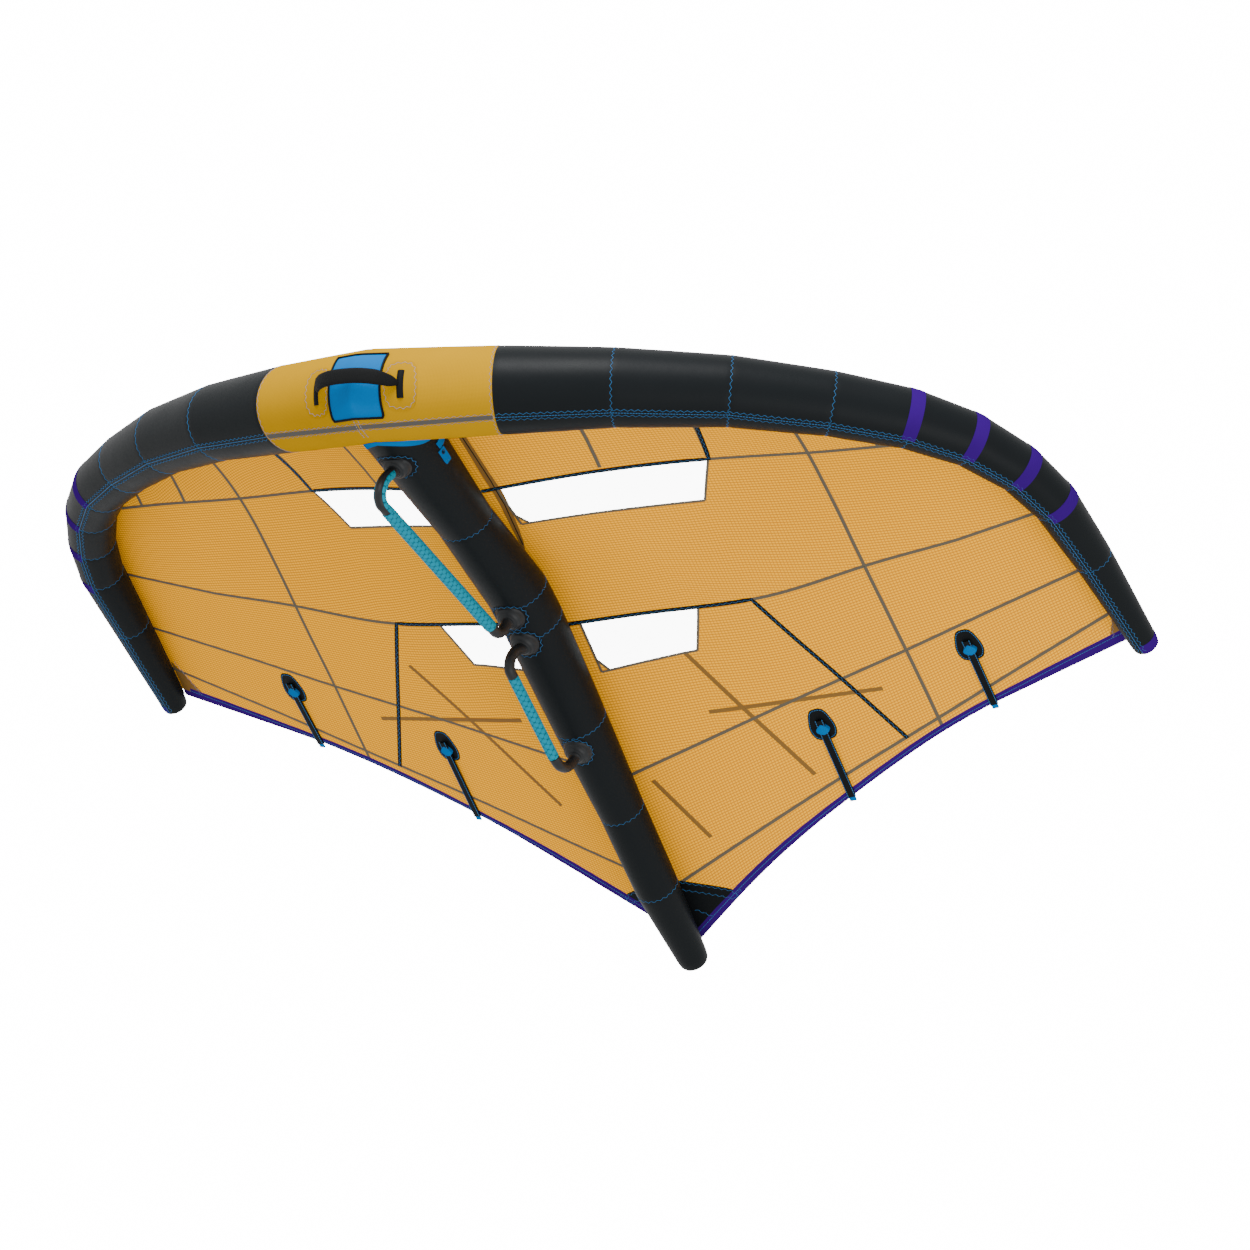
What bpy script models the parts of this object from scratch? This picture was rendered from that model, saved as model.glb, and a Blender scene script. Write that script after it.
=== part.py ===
"""Inflatable hand-held wing for wing foiling: air tubes, sewn canopy, handles, battens and valve.

Design space: X along the span, Y from the leading edge to the tail, Z up on the canopy's side.
Its zero is the centre of the leading-edge tube on the mirror plane. Everything hangs on one
empty, which puts the world's origin at the middle of the front grip.
"""
import math
from functools import lru_cache

import bpy
import numpy as np
from mathutils import Vector

# Overall shape
HALF_SPAN = 1.45  # mirror plane to the last ring of the tube
SWEEP = 1.36  # first ring to last ring, rearwards
TIP_RISE = 0.444  # first ring to last ring, upwards
CHORD = 2.046  # first ring to the strut's tail seam
TUBE_RADIUS = 0.115
STRUT_RADIUS = 0.081
STRUT_HEIGHT = 0.146
GAP = 0.0003
TUBE_WALL = 0.001
TUBE_SIDES = 24

# Rings of the leading-edge tube, from the centre seam to the tip
RING_SPAN_SHARES = (0, 0.21, 0.394, 0.564, 0.706, 0.814, 0.888, 0.941, 0.970, 0.984, 1)
RING_SWEEP_SHARES = (0, 0.051, 0.102, 0.178, 0.265, 0.343, 0.426, 0.521, 0.617, 0.770, 1)
RING_RISE_SHARES = (0, 0.146, 0.277, 0.448, 0.597, 0.703, 0.793, 0.860, 0.901, 0.950, 1)
RING_RADIUS_SHARES = (1, 0.948, 0.852, 0.765, 0.699, 0.650, 0.597, 0.548, 0.510, 0.430, 0.299)
TIP_DOME = 0.012
TIP_DOME_SHARE = 0.6

# Stations of the strut, from inside the leading edge to the tail seam
STRUT_PLACE_SHARES = (0.034, 0.098, 0.242, 0.382, 0.434, 0.596, 0.744, 0.873, 1)
STRUT_HEIGHT_SHARES = (0.03, 0.23, 0.60, 0.986, 1, 0.863, 0.753, 0.623, 0.596)
STRUT_RADIUS_SHARES = (1.11, 1.086, 0.90, 1, 0.988, 0.889, 0.753, 0.716, 0.506)
TAIL_DOME = 0.022
TAIL_DOME_SHARE = 0.55
FIRST_FREE_STATION = 1  # the first station that lies behind the leading edge

# Canopy: five bands between the leading-edge seam, four cross seams and the trailing edge
CANOPY_THICKNESS = 0.001
SEAM_SIDE = 4  # the corner of the tube's section that carries the canopy, up and to the rear
SEAM_COLUMN_SHARES = (0, 0.2, 0.39, 0.586, 0.76)
SEAM_PLACE_SHARES = (
    (0.227, 0.244, 0.270, 0.289, 0.299),
    (0.477, 0.484, 0.491, 0.473, 0.459),
    (0.721, 0.683, 0.648, 0.612, 0.578),
    (0.902, 0.838, 0.781, 0.725, 0.6745),
    (0.995, 0.8895, 0.813, 0.745, 0.707),
)
SEAM_HEIGHT_SHARES = (
    (0.36, 0.552, 0.732, 0.822, 0.883),
    (0.50, 0.604, 0.705, 0.818, 0.908),
    (0.40, 0.534, 0.671, 0.800, 0.919),
    (0.33, 0.473, 0.626, 0.777, 0.910),
    (0.30, 0.439, 0.624, 0.777, 0.914),
)
SEAM_END_SHARES = (5.6, 6.4, 8.27, 9.17, 9.65, 9.97)
STRUT_BLEND_SHARE = 0.2  # how far out the canopy still follows the strut's top
HEM_WIDTH = 0.022
HEM_THICKNESS = 0.0022
HEM_END_SHARE = 0.05
HEM_GAP = 0.0006
WINDOW_REAR_SHARES = (1.3, 2.32)  # in bands: each window's rear edge
WINDOW_START_SHARE = 0.045
FRONT_WINDOW_SHARES = (0.40, 0.359)  # outer corners, front and rear
REAR_WINDOW_SHARES = (0.264, 0.228)

# Battens in their pockets
BATTEN_PLACE_SHARES = (0.386, 0.694)  # of the half span
BATTEN_FRONT_SHARES = (0.69, 0.615)  # of the chord
POCKET_WIDTH = 0.022
POCKET_WALL = 0.001
BATTEN_WIDTH = 0.014
BATTEN_THICKNESS = 0.0025
POCKET_HEIGHT = BATTEN_THICKNESS + 2 * (POCKET_WALL + GAP)
BATTEN_TAB = 0.012
BATTEN_PLAY = 0.003

# Handles under the strut
SOCKET_PLACE_SHARES = (0.0895, 0.393, 0.4375, 0.618)
SOCKET_HEIGHT = 0.016
SOCKET_RADIUS = 0.036
SOCKET_TOP_RADIUS = 0.021
SOCKET_SINK = 0.03
FRONT_HANDLE_DROP = 0.105
REAR_HANDLE_DROP = 0.084
FRONT_HANDLE_SHARES = (
    (0, 0), (-0.024, 0.38), (-0.014, 0.78), (0.024, 0.99), (0.0725, 0.981),
    (0.924, 0.54), (0.969, 0.50), (0.994, 0.32), (1, 0),
)
REAR_HANDLE_SHARES = (
    (0, 0), (-0.046, 0.365), (-0.050, 0.723), (-0.0136, 0.964), (0.0488, 0.993),
    (0.802, 0.948), (0.894, 0.862), (0.967, 0.588), (1, 0.2), (1, 0),
)
GRIP_START = 4  # the point of each handle's path where its grip begins
FRONT_GRIP_RADIUS = 0.0165
REAR_GRIP_RADIUS = 0.0145
HANDLE_END_RADIUS = 0.014
HANDLE_BAR_RADIUS = 0.010
HANDLE_SIDES = 12
BEND_STEPS = 3

# Handle, pad and tab on the leading edge's centre
STRAP_HALF_LENGTH = 0.116
STRAP_ANGLE = math.radians(-143)
STRAP_HALF_WIDTH = 0.015
STRAP_HALF_THICKNESS = 0.0055
STRAP_STAND_OFF = 0.030
STRAP_LIFT = 0.035
STRAP_STEPS = 2
STRAP_SHARES = ((1, 0), (0.90, 0.28), (0.68, 0.70), (0.36, 0.94), (0, 1))
STRAP_SIZE_SHARES = (0.35, 0.72, 1, 1, 1)
STRAP_SEAT = 0.0018  # height of the strap's ends over the tube's round
PAD_HALF_LENGTH = 0.072
PAD_SIDES = (12, 17)  # first and last corner of the tube's section under the pad
PAD_THICKNESS = 0.003
TAB_LENGTH = 0.050
TAB_WIDTH = 0.024
TAB_THICKNESS = 0.003
TAB_HOLE_RADIUS = 0.004
TAB_SET_BACK = 0.002  # behind the strut's first free station

# Bladders, the hose that joins them, and the valve
BLADDER_PLAY = 0.002
BLADDER_WALL = 0.001
HOSE_RADIUS = 0.009
HOSE_WALL = 0.0015
HOSE_LENGTH = 0.060
HOSE_SINK = 0.012
STRUT_BLADDER_START = 0.025  # behind the leading-edge tube
VALVE_SPAN_SHARE = 0.66  # of the way from the centre ring to the next
VALVE_SIDE = 0  # the corner of the tube's section that faces the rear
VALVE_FLANGE_RADIUS = 0.022
VALVE_FLANGE_HEIGHT = 0.003
VALVE_COLLAR_RADIUS = 0.013
VALVE_COLLAR_HEIGHT = 0.012
VALVE_NECK_RADIUS = 0.010
VALVE_NECK_DEPTH = 0.018
VALVE_BORE_RADIUS = 0.007
CAP_THICKNESS = 0.004
CAP_EAR_LENGTH = 0.003
CAP_EAR_WIDTH = 0.008
CUT_OVERRUN = 0.01

# Colours, as red, green, blue
TUBE_CLOTH = (0.018, 0.021, 0.024)
YELLOW_CLOTH = (0.90, 0.55, 0.03)
SAND_CLOTH = (0.87, 0.46, 0.15)
CLEAR_FILM = (0.90, 0.92, 0.92)
PURPLE_CLOTH = (0.03, 0.006, 0.16)
BLUE_CLOTH = (0.03, 0.30, 0.75)
TEAL_FOAM = (0.01, 0.33, 0.48)
DARK_PLASTIC = (0.025, 0.027, 0.03)
BLADDER_FILM = (0.55, 0.58, 0.60)
GLASS_FIBRE = (0.75, 0.74, 0.68)

MIRROR = np.array([-1.0, 1.0, 1.0])
UP = np.array([0.0, 0.0, 1.0])


def unit(vector):
    return vector / np.linalg.norm(vector)


def natural_spline(knots, values, place):
    """The value at place of the natural cubic spline through the values at the knots."""
    return float(spline_value(tuple(map(float, knots)), tuple(map(float, values)), float(place)))


@lru_cache(maxsize=None)
def spline_value(knots, values, place):
    knots = np.array(knots)
    values = np.array(values)
    count = len(knots)
    step = np.diff(knots)
    slope = np.diff(values) / step
    matrix = np.eye(count)
    right = np.zeros(count)
    for i in range(1, count - 1):
        matrix[i, i - 1:i + 2] = step[i - 1], 2 * (step[i - 1] + step[i]), step[i]
        right[i] = 6 * (slope[i] - slope[i - 1])
    bend = np.linalg.solve(matrix, right)
    i = int(np.clip(np.searchsorted(knots, place) - 1, 0, count - 2))
    along = place - knots[i]
    first = slope[i] - step[i] * (2 * bend[i] + bend[i + 1]) / 6
    third = (bend[i + 1] - bend[i]) / (6 * step[i])
    return values[i] + along * (first + along * (bend[i] / 2 + along * third))


# Scene, materials and meshes


def clear_scene():
    for found in list(bpy.data.objects):
        bpy.data.objects.remove(found, do_unlink=True)


def material(name, colour, roughness, alpha=1.0):
    made = bpy.data.materials.get(name) or bpy.data.materials.new(name)
    made.use_nodes = True
    shader = made.node_tree.nodes["Principled BSDF"]
    shader.inputs["Base Color"].default_value = (*colour, 1)
    shader.inputs["Roughness"].default_value = roughness
    shader.inputs["Alpha"].default_value = alpha
    return made


def mesh_object(name, points, faces, finish, mirrored=False, pivot=None):
    """An object from points in design space, with its origin at pivot."""
    points = np.asarray(points, float)
    if mirrored:
        points = points * MIRROR
        faces = [tuple(reversed(face)) for face in faces]
    origin = np.zeros(3) if pivot is None else np.asarray(pivot, float)
    mesh = bpy.data.meshes.new(name)
    mesh.from_pydata([tuple(point - origin) for point in points], [], [tuple(face) for face in faces])
    mesh.validate()
    mesh.materials.append(finish)
    mesh.shade_smooth()
    mesh.set_sharp_from_angle(angle=math.radians(40))
    made = bpy.data.objects.new(name, mesh)
    bpy.context.scene.collection.objects.link(made)
    made.parent = BASE
    made.location = origin
    return made


def guide(made):
    """Keeps a cutter out of the model."""
    made.hide_render = True
    made.display_type = "WIRE"
    return made


def combine(made, other, operation="DIFFERENCE"):
    change = made.modifiers.new(operation.title(), "BOOLEAN")
    change.operation = operation
    change.solver = "EXACT"
    change.object = other


def side_faces(first, second, count, outward=True):
    """Quads between two loops of count points, whose first points are numbered first and second."""
    faces = []
    for i in range(count):
        j = (i + 1) % count
        face = (first + i, first + j, second + j, second + i)
        faces.append(face if outward else face[::-1])
    return faces


def solid(name, loops, finish, mirrored=False, pivot=None):
    """A closed body through loops that turn the right-hand way about their path."""
    count = len(loops[0])
    faces = []
    for i in range(len(loops) - 1):
        faces += side_faces(i * count, (i + 1) * count, count)
    faces.append(tuple(reversed(range(count))))
    faces.append(tuple(range((len(loops) - 1) * count, len(loops) * count)))
    return mesh_object(name, np.vstack(loops), faces, finish, mirrored, pivot)


def shell(name, outer, inner, finish, start_closed=False, end_closed=False, mirrored=False, pivot=None):
    """A wall between outer and inner loops, open or closed at either end."""
    count = len(outer[0])
    faces = []
    for i in range(len(outer) - 1):
        faces += side_faces(i * count, (i + 1) * count, count)
    base = len(outer) * count
    for i in range(len(inner) - 1):
        faces += side_faces(base + i * count, base + (i + 1) * count, count, outward=False)
    last = (len(outer) - 1) * count
    inner_last = base + (len(inner) - 1) * count
    if start_closed:
        faces.append(tuple(reversed(range(count))))
        faces.append(tuple(range(base, base + count)))
    else:
        faces += side_faces(base, 0, count)
    if end_closed:
        faces.append(tuple(range(last, last + count)))
        faces.append(tuple(reversed(range(inner_last, inner_last + count))))
    else:
        faces += side_faces(last, inner_last, count)
    return mesh_object(name, np.vstack(list(outer) + list(inner)), faces, finish, mirrored, pivot)


def round_loop(centre, across, upward, radius, sides, other_radius=None):
    other_radius = radius if other_radius is None else other_radius
    turn = np.arange(sides) * 2 * math.pi / sides
    return centre + radius * np.cos(turn)[:, None] * across + other_radius * np.sin(turn)[:, None] * upward


# The leading-edge tube


def ring_centres():
    return np.stack([
        np.array(RING_SPAN_SHARES) * HALF_SPAN,
        np.array(RING_SWEEP_SHARES) * SWEEP,
        np.array(RING_RISE_SHARES) * TIP_RISE,
    ], axis=1)


def ring_frame(index):
    """Centre, path direction, rear direction and up direction of one ring."""
    centres = ring_centres()
    before = centres[index] - centres[index - 1] if index else centres[1] * -MIRROR
    after = centres[index + 1] - centres[index] if index < len(centres) - 1 else before
    along = unit(unit(before) + unit(after))
    if not index:
        along = np.array([1.0, 0.0, 0.0])
    rear = unit(np.cross(UP, along))
    return centres[index], along, rear, np.cross(along, rear)


def ring_loop(index, extra=0.0):
    centre, _, rear, upward = ring_frame(index)
    radius = RING_RADIUS_SHARES[index] * TUBE_RADIUS + extra
    return round_loop(centre, rear, upward, radius, TUBE_SIDES)


def tube_loop(place, extra=0.0):
    """The tube's section at a place counted in rings."""
    index = min(int(place), len(RING_SPAN_SHARES) - 2)
    share = place - index
    return ring_loop(index, extra) * (1 - share) + ring_loop(index + 1, extra) * share


def tube_step(index, distance):
    """A distance along the stretch that starts at a ring, counted in rings."""
    centres = ring_centres()
    return distance / np.linalg.norm(centres[index + 1] - centres[index])


def tip_loops(extra, wall):
    """The rounded end: the last ring and a smaller one past it."""
    last = len(RING_SPAN_SHARES) - 1
    centre, along, rear, upward = ring_frame(last)
    radius = RING_RADIUS_SHARES[last] * TUBE_RADIUS + extra
    rim = round_loop(centre - wall * along, rear, upward, radius, TUBE_SIDES)
    end = centre + (TIP_DOME - wall) * along
    return [rim, round_loop(end, rear, upward, radius * TIP_DOME_SHARE, TUBE_SIDES)]


def tube_panel(name, first, last, finish, mirrored):
    start = first + tube_step(first, GAP / 2)
    end = last - tube_step(last - 1, GAP / 2)
    places = [start, *range(first + 1, last), end]
    outer = [tube_loop(place) for place in places]
    inner = [tube_loop(place, -TUBE_WALL) for place in places]
    return shell(name, outer, inner, finish, mirrored=mirrored)


def tip_panel(name, finish, mirrored):
    last = len(RING_SPAN_SHARES) - 1
    start = tube_loop(last - 1 + tube_step(last - 1, GAP / 2))
    inner_start = tube_loop(last - 1 + tube_step(last - 1, GAP / 2), -TUBE_WALL)
    outer = [start, *tip_loops(0, 0)]
    inner = [inner_start, *tip_loops(-TUBE_WALL, TUBE_WALL)]
    return shell(name, outer, inner, finish, end_closed=True, mirrored=mirrored)


def both_sides(places, extra):
    """Sections from the left place list, mirrored, through to the right."""
    right = [tube_loop(place, extra) for place in places]
    left = [loop * MIRROR for loop in reversed(right)]
    return left, right


def make_leading_edge():
    end = 1 - tube_step(0, GAP / 2)
    outer_left, outer_right = both_sides([end], 0)
    inner_left, inner_right = both_sides([end], -TUBE_WALL)
    yellow = material("yellow_tube_cloth", YELLOW_CLOTH, 0.55)
    black = material("black_tube_cloth", TUBE_CLOTH, 0.55)
    centre = shell(
        "le_centre_panel",
        [*outer_left, tube_loop(0), *outer_right],
        [*inner_left, tube_loop(0, -TUBE_WALL), *inner_right],
        yellow,
    )
    for side, mirrored in (("right", False), ("left", True)):
        for ring in range(1, 5):
            tube_panel(f"le_panel_{ring}_{side}", ring, ring + 1, black, mirrored)
        tube_panel(f"le_curve_panel_{side}", 5, 9, black, mirrored)
        tip_panel(f"le_tip_panel_{side}", black, mirrored)
    return centre


def make_tube_guide():
    """The solid space of the tube's centre, with the usual gap, for cutting what seats on it."""
    left, right = both_sides([1], GAP)
    return guide(solid("tube_guide", [*left, tube_loop(0, GAP), *right], material("guide", CLEAR_FILM, 1)))


def make_tube_bladder():
    extra = -TUBE_WALL - BLADDER_PLAY
    rings = list(range(1, len(RING_SPAN_SHARES) - 1))
    loops = []
    for more in (0, BLADDER_WALL):
        left, right = both_sides(rings, extra - more)
        tip = tip_loops(extra - more, TUBE_WALL + BLADDER_PLAY + more)
        mirrored_tip = [loop * MIRROR for loop in reversed(tip)]
        loops.append([*mirrored_tip, *left, tube_loop(0, extra - more), *right, *tip])
    film = material("bladder_film", BLADDER_FILM, 0.4)
    return shell("le_bladder", loops[0], loops[1], film, start_closed=True, end_closed=True)


# The strut


def strut_stations():
    places = np.array(STRUT_PLACE_SHARES) * CHORD
    heights = np.array(STRUT_HEIGHT_SHARES) * STRUT_HEIGHT
    radii = np.array(STRUT_RADIUS_SHARES) * STRUT_RADIUS
    return places, heights, radii


def strut_loop(place, extra=0.0):
    places, heights, radii = strut_stations()
    centre = np.array([0, place, np.interp(place, places, heights)])
    radius = np.interp(place, places, radii) + extra
    return round_loop(centre, np.array([1.0, 0, 0]), -UP, radius, TUBE_SIDES)


def strut_top(place):
    places, heights, radii = strut_stations()
    return np.interp(place, places, heights + radii)


def strut_bottom(place):
    places, heights, radii = strut_stations()
    return np.interp(place, places, heights - radii)


def tail_loops(extra, wall):
    places, heights, radii = strut_stations()
    radius = radii[-1] + extra
    rim = np.array([0, places[-1] - wall, heights[-1]])
    end = np.array([0, places[-1] + TAIL_DOME - wall, heights[-1]])
    across = np.array([1.0, 0, 0])
    return [
        round_loop(rim, across, -UP, radius, TUBE_SIDES),
        round_loop(end, across, -UP, radius * TAIL_DOME_SHARE, TUBE_SIDES),
    ]


def make_strut(tube_guide):
    places = strut_stations()[0]
    cloth = material("black_tube_cloth", TUBE_CLOTH, 0.55)
    pieces = (
        ("strut_front_panel", 0, 2),
        ("strut_grip_panel", 2, 3),
        ("strut_joint_panel", 3, 4),
        ("strut_middle_panel", 4, 5),
        ("strut_rear_panel", 5, 7),
    )
    for name, first, last in pieces:
        stations = [places[first] + GAP / 2, *places[first + 1:last], places[last] - GAP / 2]
        outer = [strut_loop(place) for place in stations]
        inner = [strut_loop(place, -TUBE_WALL) for place in stations]
        made = shell(name, outer, inner, cloth)
        if first == 0:
            combine(made, tube_guide)
    start = places[7] + GAP / 2
    outer = [strut_loop(start), *tail_loops(0, 0)]
    inner = [strut_loop(start, -TUBE_WALL), *tail_loops(-TUBE_WALL, TUBE_WALL)]
    shell("strut_tail_panel", outer, inner, cloth, end_closed=True)


def make_strut_guide():
    places = strut_stations()[0]
    loops = [strut_loop(place, GAP) for place in places]
    return guide(solid("strut_guide", loops, material("guide", CLEAR_FILM, 1)))


def make_strut_bladder():
    places = strut_stations()[0]
    start = TUBE_RADIUS + STRUT_BLADDER_START
    loops = []
    for more in (0, BLADDER_WALL):
        extra = -TUBE_WALL - BLADDER_PLAY - more
        stations = [start + more, *places[FIRST_FREE_STATION:-1]]
        tail = tail_loops(extra, TUBE_WALL + BLADDER_PLAY + more)
        loops.append([*(strut_loop(place, extra) for place in stations), *tail])
    film = material("bladder_film", BLADDER_FILM, 0.4)
    return shell("strut_bladder", loops[0], loops[1], film, start_closed=True, end_closed=True)


def hose_start():
    return TUBE_RADIUS - HOSE_SINK


def hose_loops(radius, overrun=0.0):
    height = np.interp(TUBE_RADIUS, *strut_stations()[:2])
    across = np.array([1.0, 0, 0])
    ends = (hose_start() - overrun, hose_start() + HOSE_LENGTH + overrun)
    return [round_loop(np.array([0, end, height]), across, -UP, radius, HANDLE_SIDES) for end in ends]


def make_hose(pieces):
    """The short hose that lets air from one bladder to the other, and its holes."""
    rubber = material("hose_rubber", BLADDER_FILM, 0.5)
    shell("crossover_hose", hose_loops(HOSE_RADIUS), hose_loops(HOSE_RADIUS - HOSE_WALL), rubber)
    hole = guide(solid("hose_hole", hose_loops(HOSE_RADIUS + GAP, GAP), rubber))
    for piece in pieces:
        combine(piece, hole)


# The canopy


@lru_cache(maxsize=None)
def seam_on_tube(place):
    """Where the canopy meets the tube, at a place counted in rings."""
    return tube_loop(place, GAP + CANOPY_THICKNESS)[SEAM_SIDE]


@lru_cache(maxsize=None)
def leading_seam_points():
    places = np.linspace(0, SEAM_END_SHARES[0], 4 * TUBE_SIDES)
    return np.array([seam_on_tube(float(place)) for place in places])


def leading_seam(across):
    """The leading-edge seam at a distance from the mirror plane."""
    points = leading_seam_points()
    return np.array([np.interp(across, points[:, 0], points[:, i]) for i in (1, 2)])


def cross_seam(row, across):
    """Place and height of a numbered cross seam at a distance from the mirror plane."""
    end = seam_on_tube(SEAM_END_SHARES[row])
    knots = [*np.array(SEAM_COLUMN_SHARES) * HALF_SPAN, end[0]]
    places = [*np.array(SEAM_PLACE_SHARES[row - 1]) * CHORD, end[1]]
    heights = [*np.array(SEAM_HEIGHT_SHARES[row - 1]) * TIP_RISE, end[2]]
    return np.array([natural_spline(knots, values, across) for values in (places, heights)])


@lru_cache(maxsize=None)
def canopy_profile(across):
    """Places and heights of all six seams at one distance from the mirror plane."""
    rows = [leading_seam(across)]
    rows += [cross_seam(row, across) for row in range(1, len(SEAM_END_SHARES))]
    return np.array(rows)


def canopy_point(across, band):
    """The canopy's middle surface: across from the mirror plane, band from 0 to 5."""
    across = float(across)
    knots = range(len(SEAM_END_SHARES))
    profile = canopy_profile(across)
    place = natural_spline(knots, profile[:, 0], band)
    height = natural_spline(knots, profile[:, 1], band)
    blend = 1 - across / (STRUT_BLEND_SHARE * HALF_SPAN)
    if blend > 0:
        inner = canopy_profile(0.0)
        inner_place = natural_spline(knots, inner[:, 0], band)
        inner_height = natural_spline(knots, inner[:, 1], band)
        height += blend * (height_over_strut(inner_place, inner[0]) - inner_height)
    return np.array([across, place, height])


def height_over_strut(place, seam):
    """The canopy's height on the mirror plane, from its seam on the tube and along the strut."""
    places, heights, radii = strut_stations()
    free = slice(FIRST_FREE_STATION, None)
    tops = (heights + radii)[free] + GAP + HEM_THICKNESS / 2
    return np.interp(place, [seam[0], *places[free]], [seam[1], *tops])


def canopy_edge(band):
    return seam_on_tube(float(np.interp(band, range(len(SEAM_END_SHARES)), SEAM_END_SHARES)))


def batten_edges(index):
    middle = BATTEN_PLACE_SHARES[index] * HALF_SPAN
    return middle - POCKET_WIDTH / 2, middle + POCKET_WIDTH / 2


@lru_cache(maxsize=None)
def column_places(band):
    """Distances from the mirror plane of the canopy's columns, inside its edge on the tube."""
    inner, outer = batten_edges(0), batten_edges(1)
    window_rear, second_rear = WINDOW_REAR_SHARES
    strip = POCKET_WIDTH / HALF_SPAN
    plain = SEAM_COLUMN_SHARES[1]
    front_start, front_end = FRONT_WINDOW_SHARES
    stops = (0, 1, window_rear, 2, second_rear, 3, 5)
    second = np.interp(band, stops, (plain, plain, plain, *REAR_WINDOW_SHARES, plain, plain))
    fourth_stops = (0, 1, window_rear, 2, 5)
    beside = inner[1] / HALF_SPAN
    fourth = np.interp(band, fourth_stops, (front_start, front_start, front_end, beside, beside))
    first = WINDOW_START_SHARE
    middle = SEAM_COLUMN_SHARES[3]
    shares = [
        GAP / 2 / HALF_SPAN, first, (first + second) / 2, second, (second + fourth - strip) / 2,
        fourth - strip, fourth, (fourth + middle) / 2, middle, outer[0] / HALF_SPAN,
        outer[1] / HALF_SPAN, SEAM_COLUMN_SHARES[4],
    ]
    return np.array(shares) * HALF_SPAN


COLUMNS = 14
WINDOW_FIRST_COLUMN = 1
FRONT_WINDOW_LAST_COLUMN = 6
REAR_WINDOW_LAST_COLUMN = 3
POCKET_COLUMNS = ((5, 6), (9, 10))


def column_point(column, band):
    """A grid point of the canopy: the last two columns run out to the tube."""
    places = column_places(float(band))
    if column < len(places):
        return canopy_point(places[column], band)
    share = (column - len(places) + 1) / (COLUMNS - len(places))
    return canopy_point(places[-1], band) * (1 - share) + canopy_edge(band) * share


@lru_cache(maxsize=None)
def band_length(column, row):
    return np.linalg.norm(column_point(column, row + 1) - column_point(column, row))


def band_of_station(place):
    """The band value at which the canopy on the mirror plane reaches a place along the strut."""
    low, high = 0.0, float(len(SEAM_END_SHARES) - 1)
    inner = canopy_profile(0.0)[:, 0]
    for _ in range(40):
        middle = (low + high) / 2
        if natural_spline(range(len(inner)), inner, middle) < place:
            low = middle
        else:
            high = middle
    return low


@lru_cache(maxsize=None)
def band_rows(row):
    """The rows of one band: its seams, the strut's stations, the window's edge and even steps."""
    stations = [band_of_station(place) for place in strut_stations()[0][FIRST_FREE_STATION:-1]]
    wanted = [row, *[s for s in stations if row < s < row + 1], row + 1]
    wanted += [rear for rear in WINDOW_REAR_SHARES if row < rear < row + 1]
    wanted.sort()
    rows = [wanted[0]]
    for stop in wanted[1:]:
        parts = max(1, round((stop - rows[-1]) * 3))
        rows += list(np.linspace(rows[-1], stop, parts + 1)[1:])
    return rows


def cloth_sheet(name, grid, kept, thickness, finish, mirrored):
    """A sheet of the grid's kept cells, thickened evenly to both sides."""
    wide = len(grid[0])
    used = {}
    points = []
    faces = []

    def number(i, j):
        if (i, j) not in used:
            used[i, j] = len(points)
            points.append(grid[i][j])
        return used[i, j]

    for i in range(len(grid) - 1):
        for j in range(wide - 1):
            if kept(i, j):
                faces.append((number(i, j), number(i, j + 1), number(i + 1, j + 1), number(i + 1, j)))
    made = mesh_object(name, points, faces, finish, mirrored)
    thicken = made.modifiers.new("Thickness", "SOLIDIFY")
    thicken.thickness = thickness
    thicken.offset = 0
    return made


def band_grid(row, rear_cut):
    """Points of one band, drawn in from both its seams, with rear_cut more at the rear."""
    rows = band_rows(row)
    grid = []
    for band in rows:
        line = []
        for column in range(COLUMNS):
            length = band_length(column, row)
            start = row + GAP / 2 / length
            end = row + 1 - (GAP / 2 + rear_cut) / length
            line.append(column_point(column, start + (band - row) * (end - start)))
        grid.append(line)
    return rows, grid


def window_box(row):
    """Last row and column value of the window in a band."""
    if row == 1:
        return WINDOW_REAR_SHARES[0], FRONT_WINDOW_LAST_COLUMN
    if row == 2:
        return WINDOW_REAR_SHARES[1], REAR_WINDOW_LAST_COLUMN
    return None


def window_grid(rows, grid, rear, last):
    """The window's own points, drawn in from the opening's sides and rear."""
    count = rows.index(rear) + 1
    lines = [[np.array(point) for point in line[WINDOW_FIRST_COLUMN:last + 1]] for line in grid[:count]]
    for line in lines:
        line[0] = line[0] + GAP * unit(line[1] - line[0])
        line[-1] = line[-1] + GAP * unit(line[-2] - line[-1])
    for j in range(len(lines[0])):
        lines[-1][j] = lines[-1][j] + GAP * unit(lines[-2][j] - lines[-1][j])
    return lines


def make_canopy(side, mirrored):
    sand = material("sand_canopy_cloth", SAND_CLOTH, 0.6)
    film = material("window_film", CLEAR_FILM, 0.15, 0.6)
    names = ("front", "second", "third", "fourth", "trailing")
    for row, name in enumerate(names):
        rear_cut = HEM_WIDTH + HEM_GAP if row == len(names) - 1 else 0
        rows, grid = band_grid(row, rear_cut)
        window = window_box(row)
        if window:
            rear, last = window
            end = rows.index(rear)

            def kept(i, j, end=end, last=last):
                return not (i < end and WINDOW_FIRST_COLUMN <= j < last)

            lines = window_grid(rows, grid, rear, last)
            pane = "front_window" if row == 1 else "rear_window"
            cloth_sheet(f"{pane}_{side}", lines, lambda i, j: True, CANOPY_THICKNESS, film, mirrored)
        else:
            def kept(i, j):
                return True
        cloth_sheet(f"canopy_{name}_{side}", grid, kept, CANOPY_THICKNESS, sand, mirrored)


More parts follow.
